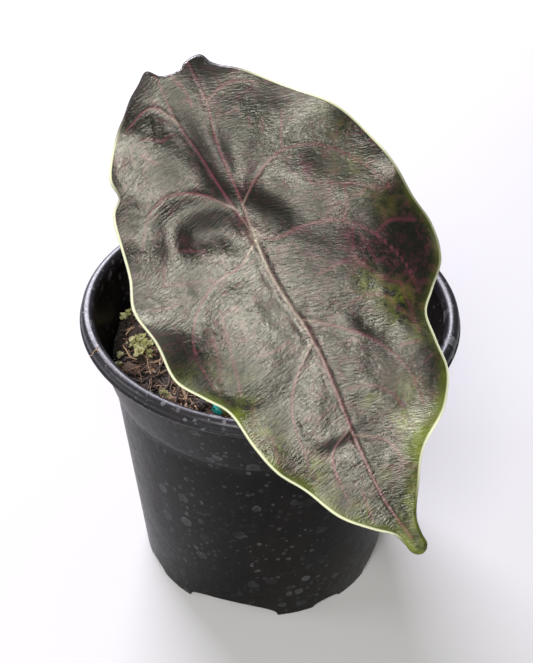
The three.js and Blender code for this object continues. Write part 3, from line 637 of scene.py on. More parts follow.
def tinted_material(name, stops, roughness, grain_scale, grain_depth):
    """Matt material whose colour runs along a ramp with each bit's own tint and a little noise."""
    skin = Skin(name)
    grain = skin.noise(grain_scale, 5, 0.65)
    tint = skin.plus(skin.mask("tint"), skin.times(skin.plus(grain, -0.5), 0.55))
    rough = skin.spread(grain, MIDDLE, (roughness - 0.12, min(roughness + 0.08, 1)))
    bumps = [(skin.noise(grain_scale * 1.7, 5, 0.7), 0.6, grain_depth)]
    return skin.finished(skin.ramp(tint, *stops), rough, bumps)


def prill_material():
    """Teal fertiliser shell, paler in spots."""
    skin = Skin("prill")
    spots = skin.noise(1.6)
    colour = skin.ramp(spots, (0.4, (0, 0.22, 0.20)), (0.65, (0.02, 0.42, 0.38)))
    return skin.finished(colour, skin.spread(spots, WHOLE, (0.25, 0.5)), [(spots, 0.3, 0.12)])


def corm_material():
    """Dull brown papery skin."""
    skin = Skin("corm_skin")
    grain = skin.noise(1.4, 6, 0.65, stretch=(1, 1, 0.25))
    colour = skin.ramp(grain, (0.3, (0.045, 0.022, 0.012)), (0.55, (0.13, 0.07, 0.035)),
                       (0.75, (0.26, 0.16, 0.09)))
    return skin.finished(colour, skin.spread(grain, WHOLE, (0.7, 0.95)), [(grain, 0.6, 0.3)])


def petiole_material():
    """Waxy pale green skin with brownish mottling, redder at the foot."""
    skin = Skin("petiole_skin")
    mottle = skin.ramp(skin.noise(0.8, 5, 0.6, 0.4, stretch=(1, 1, 0.3)), (0.42, 0), (0.6, 1))
    colour = skin.layered(
        (0.26, 0.29, 0.13),
        (skin.noise(0.12, 3), (0.36, 0.34, 0.19)),
        (skin.times(mottle, 0.55), (0.17, 0.07, 0.06)),
        (skin.mask("base"), (0.30, 0.13, 0.10)),
    )
    bumps = [(skin.noise(1.5, stretch=(2, 2, 0.15)), 0.35, 0.15), (mottle, 0.1, 0.05)]
    flesh = {"Subsurface Weight": 0.08, "Subsurface Radius": (0.002, 0.002, 0.001)}
    return skin.finished(colour, skin.spread(mottle, WHOLE, (0.36, 0.48)), bumps, flesh)


def leaf_relief(skin):
    """Heights of the creases that cross the blade and of the crinkled skin."""
    flow = skin.mask("flow", "Vector")
    creases = skin.noise(0.95, 3, 0.55, 0.5, flow, stretch=(2.3, 0.6, 1))
    return creases, skin.noise(1.1, 5, 0.65, 0.3, flow, stretch=(1.8, 1, 1))


def vein_net(skin):
    """Faint net of the finest veins, stronger in some patches."""
    inputs = {"Vector": skin.wobbled(skin.place, 0.35, 2.6), "Scale": 0.26}
    cells = skin.node("TexVoronoi", inputs, feature="DISTANCE_TO_EDGE")
    lines = skin.ramp(cells.outputs["Distance"], (0, 1), (0.05, 0))
    return skin.times(lines, skin.ramp(skin.noise(0.11, 3), (0.42, 0), (0.62, 0.36)))


def leaf_upper_material():
    """Glossy bronze skin with pink and olive patches, painted highlights, painted shade, pink veins and a
    cream margin.
    """
    skin = Skin("leaf_upper")
    creases, crinkle = leaf_relief(skin)
    broad = skin.noise(0.055, 4, 0.6)
    # Painted shade: darkens the skin's colour and fades the net of fine veins
    shade = skin.mask("shade")
    fleck = skin.ramp(skin.noise(0.55, 6, 0.7), (0.35, 0), (0.7, 0.6))
    blush = skin.ramp(skin.noise(0.42, 5, 0.65, 0.4), (0.48, 0), (0.66, 1))
    blushed = skin.ramp(skin.noise(0.05, 3), (0.4, 0.2), (0.6, 0.8))
    olive = skin.ramp(skin.noise(0.42, 6, 0.7), (0.4, 0), (0.6, 1))
    painted_highlight = skin.ramp(skin.noise(0.35, 6, 0.7), (0.3, 0.45), (0.6, 1))
    pink = skin.ramp(skin.noise(0.6, 4, 0.6), (0.3, 0.21), (0.65, 0.6))
    net = skin.times(vein_net(skin), skin.spread(shade, WHOLE, (1, 0.2)))
    vein_colour = skin.layered((0.155, 0.036, 0.056), (skin.mask("vein_pale"), (0.19, 0.175, 0.125)))
    band = skin.ramp(skin.noise(0.25, 5, 0.6), (0.35, 0.35), (0.62, 1))
    colour = skin.layered(
        skin.ramp(broad, (0.38, (0.0058, 0.008, 0.0048)), (0.62, (0.0095, 0.0072, 0.006))),
        (fleck, (0.019, 0.0205, 0.0135)),
        (skin.times(blush, blushed), (0.088, 0.024, 0.038)),
        (skin.times(skin.mask("olive"), olive), (0.12, 0.15, 0.014)),
        # Painted highlight: pale grey where reflections are painted, broken up by noise
        (skin.times(skin.mask("painted_highlight"), painted_highlight), (0.165, 0.158, 0.135)),
        # Painted shade: the skin darkened where shade is painted
        (skin.times(shade, 0.7), (0.005, 0.005, 0.0042)),
        (skin.higher(skin.times(skin.mask("fine_vein"), pink), net), (0.145, 0.032, 0.053)),
        # Painted shadow: a dark line along the left side of the midrib near its base
        (skin.times(skin.mask("painted_groove_shadow"), 0.75), (0.006, 0.005, 0.004)),
        (skin.times(skin.mask("vein"), skin.ramp(crinkle, (0.3, 0.7), (0.6, 1))), vein_colour),
        (skin.times(skin.mask("edge_band"), band), (0.13, 0.17, 0.014)),
        (skin.mask("margin"), (0.62, 0.64, 0.42)),
    )
    rough = skin.spread(crinkle, MIDDLE, (0.17, 0.24))
    rough = skin.plus(rough, skin.times(skin.mask("matt"), 0.3))
    rough = skin.plus(rough, skin.times(skin.plus(broad, -0.5), 0.2))
    bumps = [(creases, 1, 0.14), (crinkle, 1, 0.075)]
    return skin.finished(colour, rough, bumps, {"Specular Tint": (0.98, 0.96, 0.83)})


def leaf_under_material():
    """Dull wine-red underside with paler ribs."""
    skin = Skin("leaf_under")
    creases, crinkle = leaf_relief(skin)
    fleck = skin.ramp(skin.noise(0.8, 5, 0.7), (0.4, 0), (0.75, 0.35))
    colour = skin.layered(
        skin.ramp(skin.noise(0.08, 5, 0.6), (0.35, (0.105, 0.028, 0.042)), (0.65, (0.15, 0.055, 0.06))),
        (fleck, (0.2, 0.1, 0.09)),
        (skin.times(skin.mask("fine_vein"), 0.5), (0.27, 0.13, 0.12)),
        (skin.mask("rib"), (0.36, 0.20, 0.15)),
        (skin.mask("margin"), (0.50, 0.48, 0.24)),
    )
    bumps = [(creases, 0.5, 0.25), (crinkle, 0.6, 0.2)]
    return skin.finished(colour, skin.spread(crinkle, MIDDLE, (0.44, 0.56)), bumps)


def floor_material():
    """Pale matt studio floor."""
    skin = Skin("floor")
    cloth = skin.noise(3, 3, place=skin.metres)
    colour = skin.layered((0.41, 0.41, 0.407), (cloth, (0.44, 0.44, 0.437)))
    return skin.finished(colour, 0.85, others={"Specular IOR Level": 0.1})


# Pot

def pot_outer_radius(z):
    z = np.asarray(z, float)
    low = POT_FOOT_RADIUS + (POT_STEP_RADIUS - POT_FOOT_RADIUS) * z / STEP_Z
    start = POT_STEP_RADIUS + STEP_WIDTH
    high = start + (COLLAR_RADIUS - start) * (z - STEP_Z) / (COLLAR_TOP_Z - STEP_Z)
    return np.where(z < STEP_Z, low, high)


def pot_inner_radius(z):
    return pot_outer_radius(z) - POT_WALL


def arch_height(angle):
    """Height of the arched notches in the foot ring at an angle from -Y towards +X."""
    height = np.zeros_like(angle)
    for middle, half_width, top in NOTCHES:
        away = wrapped(angle - middle)
        across = POT_FOOT_RADIUS * np.sin(away) / half_width
        near = (np.abs(away) < 1) & (np.abs(across) < 1)
        arch = top * np.sqrt(np.clip(1 - across ** 2, 0, 1))
        height = np.where(near, np.maximum(height, arch), height)
    return height


def pot_angles():
    """Even angles round the pot, with more where the notches rise steeply."""
    angles = list(np.linspace(0, 2 * math.pi, 288, endpoint=False))
    for middle, half_width, _ in NOTCHES:
        widths = [half_width * math.cos(math.radians(turn)) for turn in (0, 4, 10, 18, 28)]
        for width in (*widths, half_width + 0.05):
            reach = math.asin(width / POT_FOOT_RADIUS)
            angles += [middle - reach, middle + reach]
    angles = np.sort(np.array(angles) % (2 * math.pi))
    return angles[np.r_[True, np.diff(angles) > math.radians(0.03)]]


def pot_profile():
    """Closed profile from the middle of the dish round the outside to the middle of the floor.

    Each point is a radius, a height and a sign, which is 1 on the outer face of the foot and -1 on
    its inner face, where the notches raise the wall.
    """
    def outer(heights, foot=0, more=0):
        return [(pot_outer_radius(z) + more, z, foot) for z in heights]

    def inner(heights, foot=0, more=0):
        return [(pot_inner_radius(z) + more, z, foot) for z in heights]

    dish_rim = DISH_RADIUS + DISH_SLOPE
    profile = [(0.01, 0, 0), (6, 0, 0), (DISH_RADIUS - 0.4, 0, 0), (DISH_RADIUS, 0.12, 0)]
    profile += [(dish_rim - 0.4, FLOOR_UNDERSIDE - 0.35, 0), (dish_rim + 0.1, FLOOR_UNDERSIDE, 0)]
    profile += [(r, FLOOR_UNDERSIDE, 0) for r in (24, 29, 34)]
    profile += inner([FLOOR_UNDERSIDE], 0, -0.5)
    profile += inner([FLOOR_UNDERSIDE - 0.25, 5, 3.5, 2, 1, 0.35], -1)
    profile += inner([0], -1, 0.3)
    profile += [(POT_FOOT_RADIUS - 0.35, 0, -1)]
    profile += outer([0.3, 0.8, 2, 3.5, 5, 6.5, NOTCH_REACH_Z], 1)
    profile += outer(np.linspace(10, BELOW_STEP_Z - 0.3, 22))
    profile += outer([BELOW_STEP_Z], 0, 0.08)
    for z, inset in ((STEP_Z - 0.25, 0.25), (STEP_Z, 0.05)):
        profile.append((pot_outer_radius(STEP_Z) - inset, z, 0))
    profile += outer(np.linspace(STEP_Z + 0.4, COLLAR_TOP_Z - 0.8, 9))
    profile += [(COLLAR_RADIUS, COLLAR_TOP_Z - 0.25, 0), (COLLAR_RADIUS + 0.5, COLLAR_TOP_Z, 0)]
    for inset, lift in ((0.55, -0.5), (0.15, -0.32), (0, 0), (0.1, 0.3), (0.42, 0.5)):
        profile.append((BEAD_RADIUS - inset, BEAD_Z + lift, 0))
    for turn in np.linspace(-0.06 * math.pi, math.pi, 26):
        r = LIP_RADIUS + LIP_ROLL * math.cos(turn)
        profile.append((r, POT_HEIGHT - LIP_ROLL * (1 - math.sin(turn)), 0))
    for z in np.linspace(COLLAR_TOP_Z + 1.2, STEP_Z + 0.3, 14):
        profile.append((min(pot_inner_radius(z), LIP_RADIUS - LIP_ROLL), z, 0))
    profile += inner([BELOW_STEP_Z, *np.linspace(STEP_Z - 4, FLOOR_TOP + 0.6, 12)])
    profile += inner([FLOOR_TOP], 0, -0.5)
    profile += [(r, FLOOR_TOP, 0) for r in (34, 29, 24, dish_rim - 0.5)]
    profile += [(r, FLOOR_THICKNESS, 0) for r in (DISH_RADIUS - 0.5, 6, 0.01)]
    return np.array(profile, float)


def build_pot(material, rim_material):
    profile = pot_profile()
    angles = pot_angles()
    arch = arch_height(angles)[None, :]
    radius, z, foot = (profile[:, k][:, None] for k in range(3))
    top = np.where(foot < 0, FLOOR_UNDERSIDE, NOTCH_REACH_Z)
    raised = np.where(foot == 0, z, arch + z * (top - arch) / top)
    radius = np.where(foot > 0, radius + pot_outer_radius(raised) - pot_outer_radius(z), radius)
    radius = np.where(foot < 0, radius + pot_inner_radius(raised) - pot_inner_radius(z), radius)
    x, y = radius * np.sin(angles), -radius * np.cos(angles)
    points = np.stack(np.broadcast_arrays(x, y, raised), -1).reshape(-1, 3)
    faces = stacked_faces(len(profile), len(angles))
    body = make_piece("nursery_pot", points, faces, [material], replaces=["pot"])
    drill_holes(body)
    body.data.set_sharp_from_angle(angle=math.radians(38))
    body.data.materials.append(rim_material)
    for polygon in body.data.polygons:
        polygon.material_index = 1 if polygon.center.z > (COLLAR_TOP_Z - 0.5) * MM else 0


def drill_holes(body):
    """Cuts the round drain holes through the pot's floor."""
    sides = 40
    turns = round_angles(sides)
    rings, faces = [], []
    for i in range(DRAIN_HOLES):
        angle = math.radians(FIRST_NOTCH_DEG) + 2 * math.pi * i / DRAIN_HOLES
        centre = DRAIN_RING_RADIUS * np.array([math.sin(angle), -math.cos(angle)])
        circle = centre + DRAIN_HOLE_RADIUS * np.stack([np.cos(turns), np.sin(turns)], -1)
        for z in (FLOOR_UNDERSIDE - 2, FLOOR_UNDERSIDE + 3):
            rings.append(np.column_stack([circle, np.full(sides, z)]))
        faces += stacked_faces(2, sides, 2 * sides * i)
    mesh = bpy.data.meshes.new("drill")
    mesh.from_pydata((np.vstack(rings) * MM).tolist(), [], faces)
    drill = put("drill", mesh)
    cut = body.modifiers.new("drain", "BOOLEAN")
    cut.operation = "DIFFERENCE"
    cut.solver = "EXACT"
    cut.object = drill
    bpy.context.view_layer.update()
    shaped = bpy.data.meshes.new_from_object(body.evaluated_get(bpy.context.evaluated_depsgraph_get()))
    body.modifiers.clear()
    body.data = shaped
    bpy.data.objects.remove(drill)


# Potting mix

def mix_height(x, y):
    x, y = np.asarray(x, float), np.asarray(y, float)
    heap = 1.8 * np.exp(-((x - CROWN[0]) ** 2 + (y - CROWN[1]) ** 2) / 220)
    broad = 0.8 * np.sin(x * 0.21 + 1.3) * np.cos(y * 0.17 - 0.4)
    crumbs = 0.55 * np.sin(x * 0.83 + y * 0.41) * np.sin(y * 0.77 - x * 0.28 + 2)
    settle = -0.8 * (np.hypot(x, y) / pot_inner_radius(MIX_LEVEL)) ** 6
    bank = 1.8 * np.exp(-((x + 43) ** 2 + (y - 8) ** 2) / 150)
    return MIX_LEVEL + heap + broad + crumbs + settle + bank


def bed_height(x, y):
    """The mix's surface with its fine crumbs."""
    fine = 0.45 * noise2(x * 0.55, y * 0.55, 5) + 0.3 * np.abs(noise2(x * 1.3, y * 1.3, 6))
    fine = fine + 0.16 * noise2(x * 2.9, y * 2.9, 7)
    return mix_height(x, y) - 0.35 + fine


def build_bed(material):
    sides = 300
    angles = round_angles(sides)
    bottom = FLOOR_TOP + MIX_GAP
    low = [(0.02, FLOOR_THICKNESS + MIX_GAP), (DISH_RADIUS - 1, FLOOR_THICKNESS + MIX_GAP)]
    low += [(DISH_RADIUS + DISH_SLOPE - 1.4, bottom)]
    low += [(r, bottom) for r in (23, 29, 35)]
    low += [(pot_inner_radius(z) - MIX_GAP, z) for z in np.linspace(bottom, BELOW_STEP_Z, 16)]
    rings = [(np.full(sides, r), np.full(sides, z)) for r, z in low]
    edge = pot_inner_radius(MIX_EDGE_Z) - 0.25
    for share in np.linspace(1, 0.004, 76):
        r = np.full(sides, edge * share)
        rings.append((r, bed_height(r * np.cos(angles), r * np.sin(angles))))
    points = np.vstack([np.stack([r * np.cos(angles), r * np.sin(angles), z], -1) for r, z in rings])
    values = {"tint": 0.3 + 0.25 * noise2(points[:, 0] * 0.3, points[:, 1] * 0.3, 9)}
    make_piece("mix_bed", points, stacked_faces(len(rings), sides), [material],
               replaces=["potting_mix"], values=values)


def turned(points, tilt, heading):
    """Points tilted about Y and then turned about Z."""
    x = points[:, 0] * math.cos(tilt) + points[:, 2] * math.sin(tilt)
    z = points[:, 2] * math.cos(tilt) - points[:, 0] * math.sin(tilt)
    y = points[:, 1]
    return np.stack([x * math.cos(heading) - y * math.sin(heading),
                     x * math.sin(heading) + y * math.cos(heading), z], -1)


def laid(points, place, tilt, heading, lift):
    """Points turned and laid on the mix."""
    return turned(points, tilt, heading) + [*place, float(mix_height(*place)) + lift]


def place_on_mix(draw, reach, clearance=7):
    """A place that is clear of the crown and of the wall."""
    rim = float(pot_inner_radius(MIX_EDGE_Z)) - 1
    while True:
        radius = (rim - reach) * math.sqrt(draw())
        angle = 2 * math.pi * draw()
        x, y = radius * math.cos(angle), radius * math.sin(angle)
        if math.hypot(x - CROWN[0], y - CROWN[1]) > clearance + reach:
            return x, y


def place_by_wall(rng):
    radius = float(pot_inner_radius(MIX_EDGE_Z)) - rng.uniform(0.7, 4)
    angle = rng.uniform(0, 2 * math.pi)
    return radius * math.cos(angle), radius * math.sin(angle)


def chip_shape(ball, size, rng):
    """Splinter of bark: a ball squared off, flattened and broken up by noise."""
    points = np.sign(ball) * np.abs(ball) ** 0.75
    phase = rng.uniform(0, 40, 3)
    rough = noise2(ball[:, 0] * 1.8 + phase[0], ball[:, 1] * 1.8 + ball[:, 2] * 2.3 + phase[1], 3)
    jag = noise2(ball[:, 0] * 4 + phase[2], ball[:, 1] * 4 - ball[:, 2] * 3, 4)
    points = points * (1 + 0.28 * rough + 0.16 * jag)[:, None]
    return points * np.asarray(size) / 2


def strand(length, radius, rng, sides):
    """Slightly wavy strand along X, thinner at both ends."""
    t = np.linspace(-0.5, 0.5, 11)
    bend = rng.uniform(-0.14, 0.14)
    wave = rng.uniform(0, 0.05)
    phase = rng.uniform(0, ANY_TURN)
    y = length * (bend * (4 * t * t - 1) + wave * np.sin(9 * t + phase))
    z = length * 0.02 * np.sin(7 * t + 2 * phase)
    radii = radius * (1.05 - 1.5 * np.abs(t) ** 2.2) * (1 + 0.12 * np.sin(17 * t + phase))
    return tube(np.stack([length * t, y, z], -1), radii, sides)


def leaflet(size, curl, rng):
    """Thin crumpled disc with its edge curled up."""
    sides = 14
    angles = round_angles(sides)
    phase = rng.uniform(0, 40)
    shares = np.linspace(1, 0.12, 5)
    lobes = 1 + 0.16 * np.sin(3 * angles + phase) + 0.1 * np.sin(7 * angles + 2 * phase)
    layers = []
    for lift, order in ((0, shares[::-1]), (0.22, shares)):
        for share in order:
            r = size * share * lobes
            x, y = r * np.cos(angles), 0.75 * r * np.sin(angles)
            z = curl * size * share ** 2 + 0.5 * size * noise2(x / size * 2 + phase, y / size * 2, 15)
            layers.append(np.stack([x, y, z - lift * (1 - 0.6 * share)], -1))
    return np.vstack(layers), stacked_faces(len(layers), sides)


def add_moss(heap, place, radius, heading, rng):
    """Tuft of crumpled leaflets that curl up at their edges."""
    for i in range(6):
        turn = heading + 2.4 * i
        away = radius * (0 if i == 0 else 0.75)
        size = radius * rng.uniform(0.5, 0.85)
        points, faces = leaflet(size, rng.uniform(0.4, 1.3), rng)
        at = (place[0] + away * math.cos(turn), place[1] + away * math.sin(turn))
        points = laid(points, at, rng.uniform(-0.5, 0.5), turn, 0.6 + 0.25 * radius)
        heap.add(points, faces, rng.uniform(0.2, 1))


def add_rim_fibre(heap):
    """Forked fibre that lies over the pot's rim."""
    for turn, length in ((200, 1.9), (318, 1.5), (80, 1.7)):
        t = np.linspace(0, length, 7)
        x = RIM_FIBRE[0] + t * math.cos(math.radians(turn)) + 0.12 * np.sin(2 * t)
        y = RIM_FIBRE[1] + t * math.sin(math.radians(turn))
        over = np.clip(LIP_ROLL ** 2 - (np.hypot(x, y) - LIP_RADIUS) ** 2, 0, None)
        z = POT_HEIGHT - LIP_ROLL + np.sqrt(over) + 0.1
        points, faces = tube(np.stack([x, y, z], -1), 0.09, 5)
        heap.add(points, faces, 1)


def build_bits(chip_material, crumb_material, strand_material, moss_material, prill):
    """Chips, crumbs, strands, moss and prills: first those of the solids, then many finer ones."""
    draw = seeded_random(7)
    rng = np.random.default_rng(11)
    coarse, coarse_faces = icosphere(2)
    medium, medium_faces = icosphere(1)
    grit, grit_faces = icosphere(0)
    chips, crumbs, strands, moss = Heap(), Heap(), Heap(), Heap()

    def scatter(heap, points, faces, place, tilt, lift, power, low=0, high=1):
        """Lays a bit at a random tilt, heading and lift, with a random tint."""
        points = laid(points, place, rng.uniform(*tilt), rng.uniform(0, ANY_TURN), rng.uniform(*lift))
        heap.add(points, faces, low + (high - low) * rng.uniform(0, 1) ** power)

    for _ in range(SOLID_CHIPS):
        length, width, thickness = 3 + 6 * draw(), 2 + 2.5 * draw(), 1.1 + 1.1 * draw()
        place = place_on_mix(draw, length / 2)
        heading = 2 * math.pi * draw()
        tilt = 0.7 * (draw() - 0.5)
        shape = chip_shape(coarse, (length * 1.05, width, thickness), rng)
        points = laid(shape, place, tilt, heading, 0.1 * thickness)
        chips.add(points, coarse_faces, rng.uniform(0.2, 0.95))
    for _ in range(SOLID_STRANDS):
        length, radius = 7 + 9 * draw(), 0.45 + 0.25 * draw()
        place = place_on_mix(draw, length / 2)
        heading = 2 * math.pi * draw()
        tilt = 0.24 * (draw() - 0.5)
        points, faces = strand(length, radius, rng, 6)
        strands.add(laid(points, place, tilt, heading, 0.2), faces, rng.uniform(0.3, 1))
    for _ in range(SOLID_CURLS):
        radius = 1.5 + 1.2 * draw()
        # The solids' curls also draw their arc and tilt here
        draw()
        draw()
        place = place_on_mix(draw, radius + 1)
        add_moss(moss, place, radius, 2 * math.pi * draw(), rng)

    for _ in range(FINE_CHIPS):
        length = rng.uniform(1, 3.8)
        place = place_on_mix(rng.random, length / 2, 2.5)
        size = (length, length * rng.uniform(0.3, 0.65), rng.uniform(0.4, 1.1))
        shape = chip_shape(medium, size, rng)
        scatter(chips, shape, medium_faces, place, (-0.5, 0.5), (-0.1, 0.8), 2.2)
    for _ in range(SPLINTERS):
        length = rng.uniform(3, 9)
        place = place_on_mix(rng.random, length / 2, 3)
        size = (length, rng.uniform(0.3, 0.9), rng.uniform(0.25, 0.6))
        shape = chip_shape(medium, size, rng)
        scatter(chips, shape, medium_faces, place, (-0.2, 0.2), (0.3, 1.3), 1.6, 0.15, 0.95)
    for _ in range(CRUMBS):
        size = rng.uniform(0.35, 1.25)
        place = place_on_mix(rng.random, 0.5, 2.2)
        shape = grit * rng.uniform(0.6, 1.2, (len(grit), 1)) * size / 2 * rng.uniform(0.7, 1.3, 3)
        scatter(crumbs, shape, grit_faces, place, (0, 6), (-0.2, 0.7), 2)
    for _ in range(WALL_CRUMBS):
        place = place_by_wall(rng)
        shape = grit * rng.uniform(0.6, 1.2, (len(grit), 1)) * rng.uniform(0.2, 0.7)
        scatter(crumbs, shape, grit_faces, place, (0, 6), (-0.3, 0.9), 2)
    for _ in range(FIBRES):
        length = rng.uniform(2.5, 11)
        place = place_on_mix(rng.random, length / 2 * 0.9, 3)
        radius = rng.uniform(0.07, 0.22)
        scatter(strands, *strand(length, radius, rng, 5), place, (-0.22, 0.22), (0.3, 1.2), 1)
    add_rim_fibre(strands)
    for x, y, radius in MOSS_TUFTS:
        add_moss(moss, (x, y), radius, rng.uniform(0, ANY_TURN), rng)

    chips.piece("bark_chips", chip_material, False)
    crumbs.piece("crumbs", crumb_material, False)
    strands.piece("coir_strands", strand_material, True)
    moss.piece("moss_wisps", moss_material, True)
    build_prills(prill)


def build_prills(material):
    ball, faces = icosphere(3)
    heap = Heap()
    for x, y in PRILL_PLACES:
        bumpy = 1 + 0.03 * noise2(ball[:, 0] * 3 + x, ball[:, 1] * 3 + ball[:, 2] * 2 + y, 8)
        z = float(mix_height(x, y)) + 0.5 * PRILL_RADIUS
        heap.add(ball * bumpy[:, None] * PRILL_RADIUS + [x, y, z], faces, 0.5)
    heap.piece("prills", material, True)


# Stalk

def petiole_curve(count):
    foot = np.array([*CROWN, CORM_TOP + 0.3])
    under = float(base_height(np.zeros(1), np.zeros(1))[0]) - BLADE_THICKNESS - BOSS_LENGTH
    head = blade_point(0, 0, under + 0.5)
    second = foot + [0, 0, PETIOLE_REACH]
    third = head - PETIOLE_REACH * NORMAL
    t = np.linspace(0, 1, count)[:, None]
    return foot * (1 - t) ** 3 + 3 * second * t * (1 - t) ** 2 + 3 * third * t * t * (1 - t) + head * t ** 3


def build_petiole(material):
    """Tapering stalk with a sheath at its foot, which opens in a channel between two ridges."""
    count, sides = 150, 40
    path = petiole_curve(count)
    share = np.linspace(0, 1, count)
    radii = PETIOLE_BASE_RADIUS + (PETIOLE_TOP_RADIUS - PETIOLE_BASE_RADIUS) * share
    radii = radii + SHEATH_EXTRA_RADIUS * bell(share, SHEATH_SHARE)
    radii = radii * (1 + 0.03 * noise2(share * 9, share * 0, 12))
    points, faces = tube(path, radii, sides)
    centre = np.repeat(path, sides, axis=0)
    turn = np.tile(wrapped(round_angles(sides)), count)
    low = np.repeat(smoothstep(0.42, 0.2, share), sides)
    sheath = low * (0.16 * bell(np.abs(turn) - 0.7, 0.16) - 0.12 * bell(turn, 0.45))
    points[:-2] = centre + (points[:-2] - centre) * (1 + sheath)[:, None]
    base = 0.6 * np.r_[np.repeat(smoothstep(0.16, 0, share), sides), 1, 0]
    make_piece("leaf_stalk", points, faces, [material], replaces=["petiole"],
               values={"base": base})


# Leaf blade

def blade_point(u, v, height):
    u, v, height = (np.asarray(k, float)[..., None] for k in (u, v, height))
    return BLADE_ATTACHMENT + u * ALONG + v * ACROSS + height * NORMAL


def vein_lines():
    """Main veins as fine lines, with the width of the valley that each lies in."""
    made = []
    for points in (MIDRIB, *SIDE_VEINS, *BACK_COSTAE):
        length = np.sum(np.linalg.norm(np.diff(np.array(points, float), axis=0), axis=1))
        width = COSTA_VALLEY_WIDTH if points in BACK_COSTAE else VALLEY_WIDTH
        made.append((smooth_line(points, max(8, int(length / 1.5))), width))
    return made


VEINS = vein_lines()


def vein_reaches(u, v):
    """For each main vein: distance, run along it, its length and the width of its valley."""
    return [(*reach_of_line(u, v, line), width) for line, width in VEINS]


def oval(u, v, a, b, reach_a, reach_b):
    """Soft oval area round a place of the blade."""
    return bell(u - a, reach_a) * bell(v - b, reach_b)


def base_height(u, v, reaches=None):
    """Broad shape of the blade's upper face over its plane: pillows between the veins."""
    pillow = np.full(u.shape, float(PILLOW_HEIGHT))
    for distance, run, length, width in reaches or vein_reaches(u, v):
        pressed = 0.92 * (1 - 0.6 * (run / length) ** 2)
        pillow = pillow * (1 - pressed * bell(distance, width))
    height = pillow - TIP_DROOP * np.clip(u / TIP[0], 0, None) ** TIP_POWER
    height = height - ROOF_SLOPE * (np.hypot(v, ROOF_ROUNDING) - ROOF_ROUNDING)
    for a, b, depth, reach_a, reach_b in HOLLOWS:
        height = height - depth * oval(u, v, a, b, reach_a, reach_b)
    for a, b, fall, reach_a, reach_b, turn in FALLS:
        cosine, sine = math.cos(math.radians(turn)), math.sin(math.radians(turn))
        along = ((u - a) * cosine + (v - b) * sine) / reach_a
        across = ((v - b) * cosine - (u - a) * sine) / reach_b
        height = height + fall * along * bell(along, 1) * bell(across, 1)
    return height


def blade_places():
    """Flat places of the blade's rows, from the left edge over the midrib to the right edge."""
    rows = BLADE_ROWS + 1
    middle = smooth_line([NOTCH, (-22, 0), *MIDRIB, TIP], rows)
    left = smooth_line([NOTCH, *LEFT_EDGE, TIP], rows)
    right = smooth_line([NOTCH, *RIGHT_EDGE, TIP], rows)
    inner = BLADE_COLUMNS - len(RIM_COLUMNS)
    places = np.zeros((rows, 2 * BLADE_COLUMNS + 1, 2))
    for side, edge in ((-1, left), (1, right)):
        reach = np.linalg.norm(edge - middle, axis=1)
        band = np.minimum(RIM_COLUMNS[0], 0.3 * reach) / np.maximum(reach, 1e-6)
        for k in range(BLADE_COLUMNS + 1):
            if k <= inner:
                share = (k / (inner + 1)) ** 1.15 * (1 - band)
            else:
                share = 1 - band * RIM_COLUMNS[k - inner - 1] / RIM_COLUMNS[0]
            share = np.clip(share, 0, 1)[:, None]
            places[:, BLADE_COLUMNS + side * k] = middle * (1 - share) + edge * share
    return places, left, right


def blade_masks(u, v, reaches):
    """Where the main veins, the fine ones, the patches, the painted shade and the painted highlights lie,
    and the run of the wrinkles.
    """
    vein, pale, rib, fine, olive, painted_highlight = np.zeros((6, *u.shape))
    for i, (distance, run, length, _) in enumerate(reaches):
        share = run / length
        width, pale_run = (0.27, 5) if i else (0.46, 34)
        strength = bell(distance, width * (1 - 0.4 * share)) * (0.95 - 0.3 * share)
        vein = np.maximum(vein, strength)
        pale = np.maximum(pale, strength * bell(run, pale_run))
        rib = np.maximum(rib, bell(distance, 1.1 - 0.6 * share))
    distance, run = reaches[0][:2]
    # Painted shadow: a dark line along the left side of the midrib, fading out by about 30 mm along it
    painted_groove_shadow = bell(distance - 0.8, 0.28) * (v < 0.6) * smoothstep(30, 12, run) * smoothstep(1, 3, run)
    spot = bell(np.hypot(u - 0.3, v), 1.5)
    for points in FINE_VEINS:
        line = smooth_line(points, max(4, 3 * len(points)))
        fine = np.maximum(fine, bell(reach_of_line(u, v, line)[0], 0.34))
    for a, b, radius, strength in OLIVE_PATCHES:
        olive = np.maximum(olive, strength * oval(u, v, a, b, radius, radius))
    # Painted shade: the trough between the back costae, then the listed fields, darker and more matt
    shade = 0.8 * bell(v + 1.5, 4.6) * smoothstep(-4, -9, u) * smoothstep(-47, -36, u)
    matt = shade
    for a, b, reach_a, reach_b, strength, matt_share in PAINTED_SHADE_AREAS:
        area = strength * oval(u, v, a, b, reach_a, reach_b)
        shade, matt = np.maximum(shade, area), np.maximum(matt, matt_share * area)
    # Painted highlights: pale fields that stand for reflections
    for a, b, reach_a, reach_b, strength in PAINTED_HIGHLIGHT_AREAS:
        painted_highlight = np.maximum(painted_highlight, strength * oval(u, v, a, b, reach_a, reach_b))
    flow = np.stack([u - WRINKLE_SWEEP * np.abs(v), v, np.zeros_like(u)], -1)
    return {"vein": np.maximum(vein, spot), "vein_pale": np.maximum(pale, spot), "rib": rib,
            "fine_vein": fine, "olive": olive, "painted_groove_shadow": painted_groove_shadow, "shade": shade, "matt": matt,
            "painted_highlight": painted_highlight, "flow": flow}


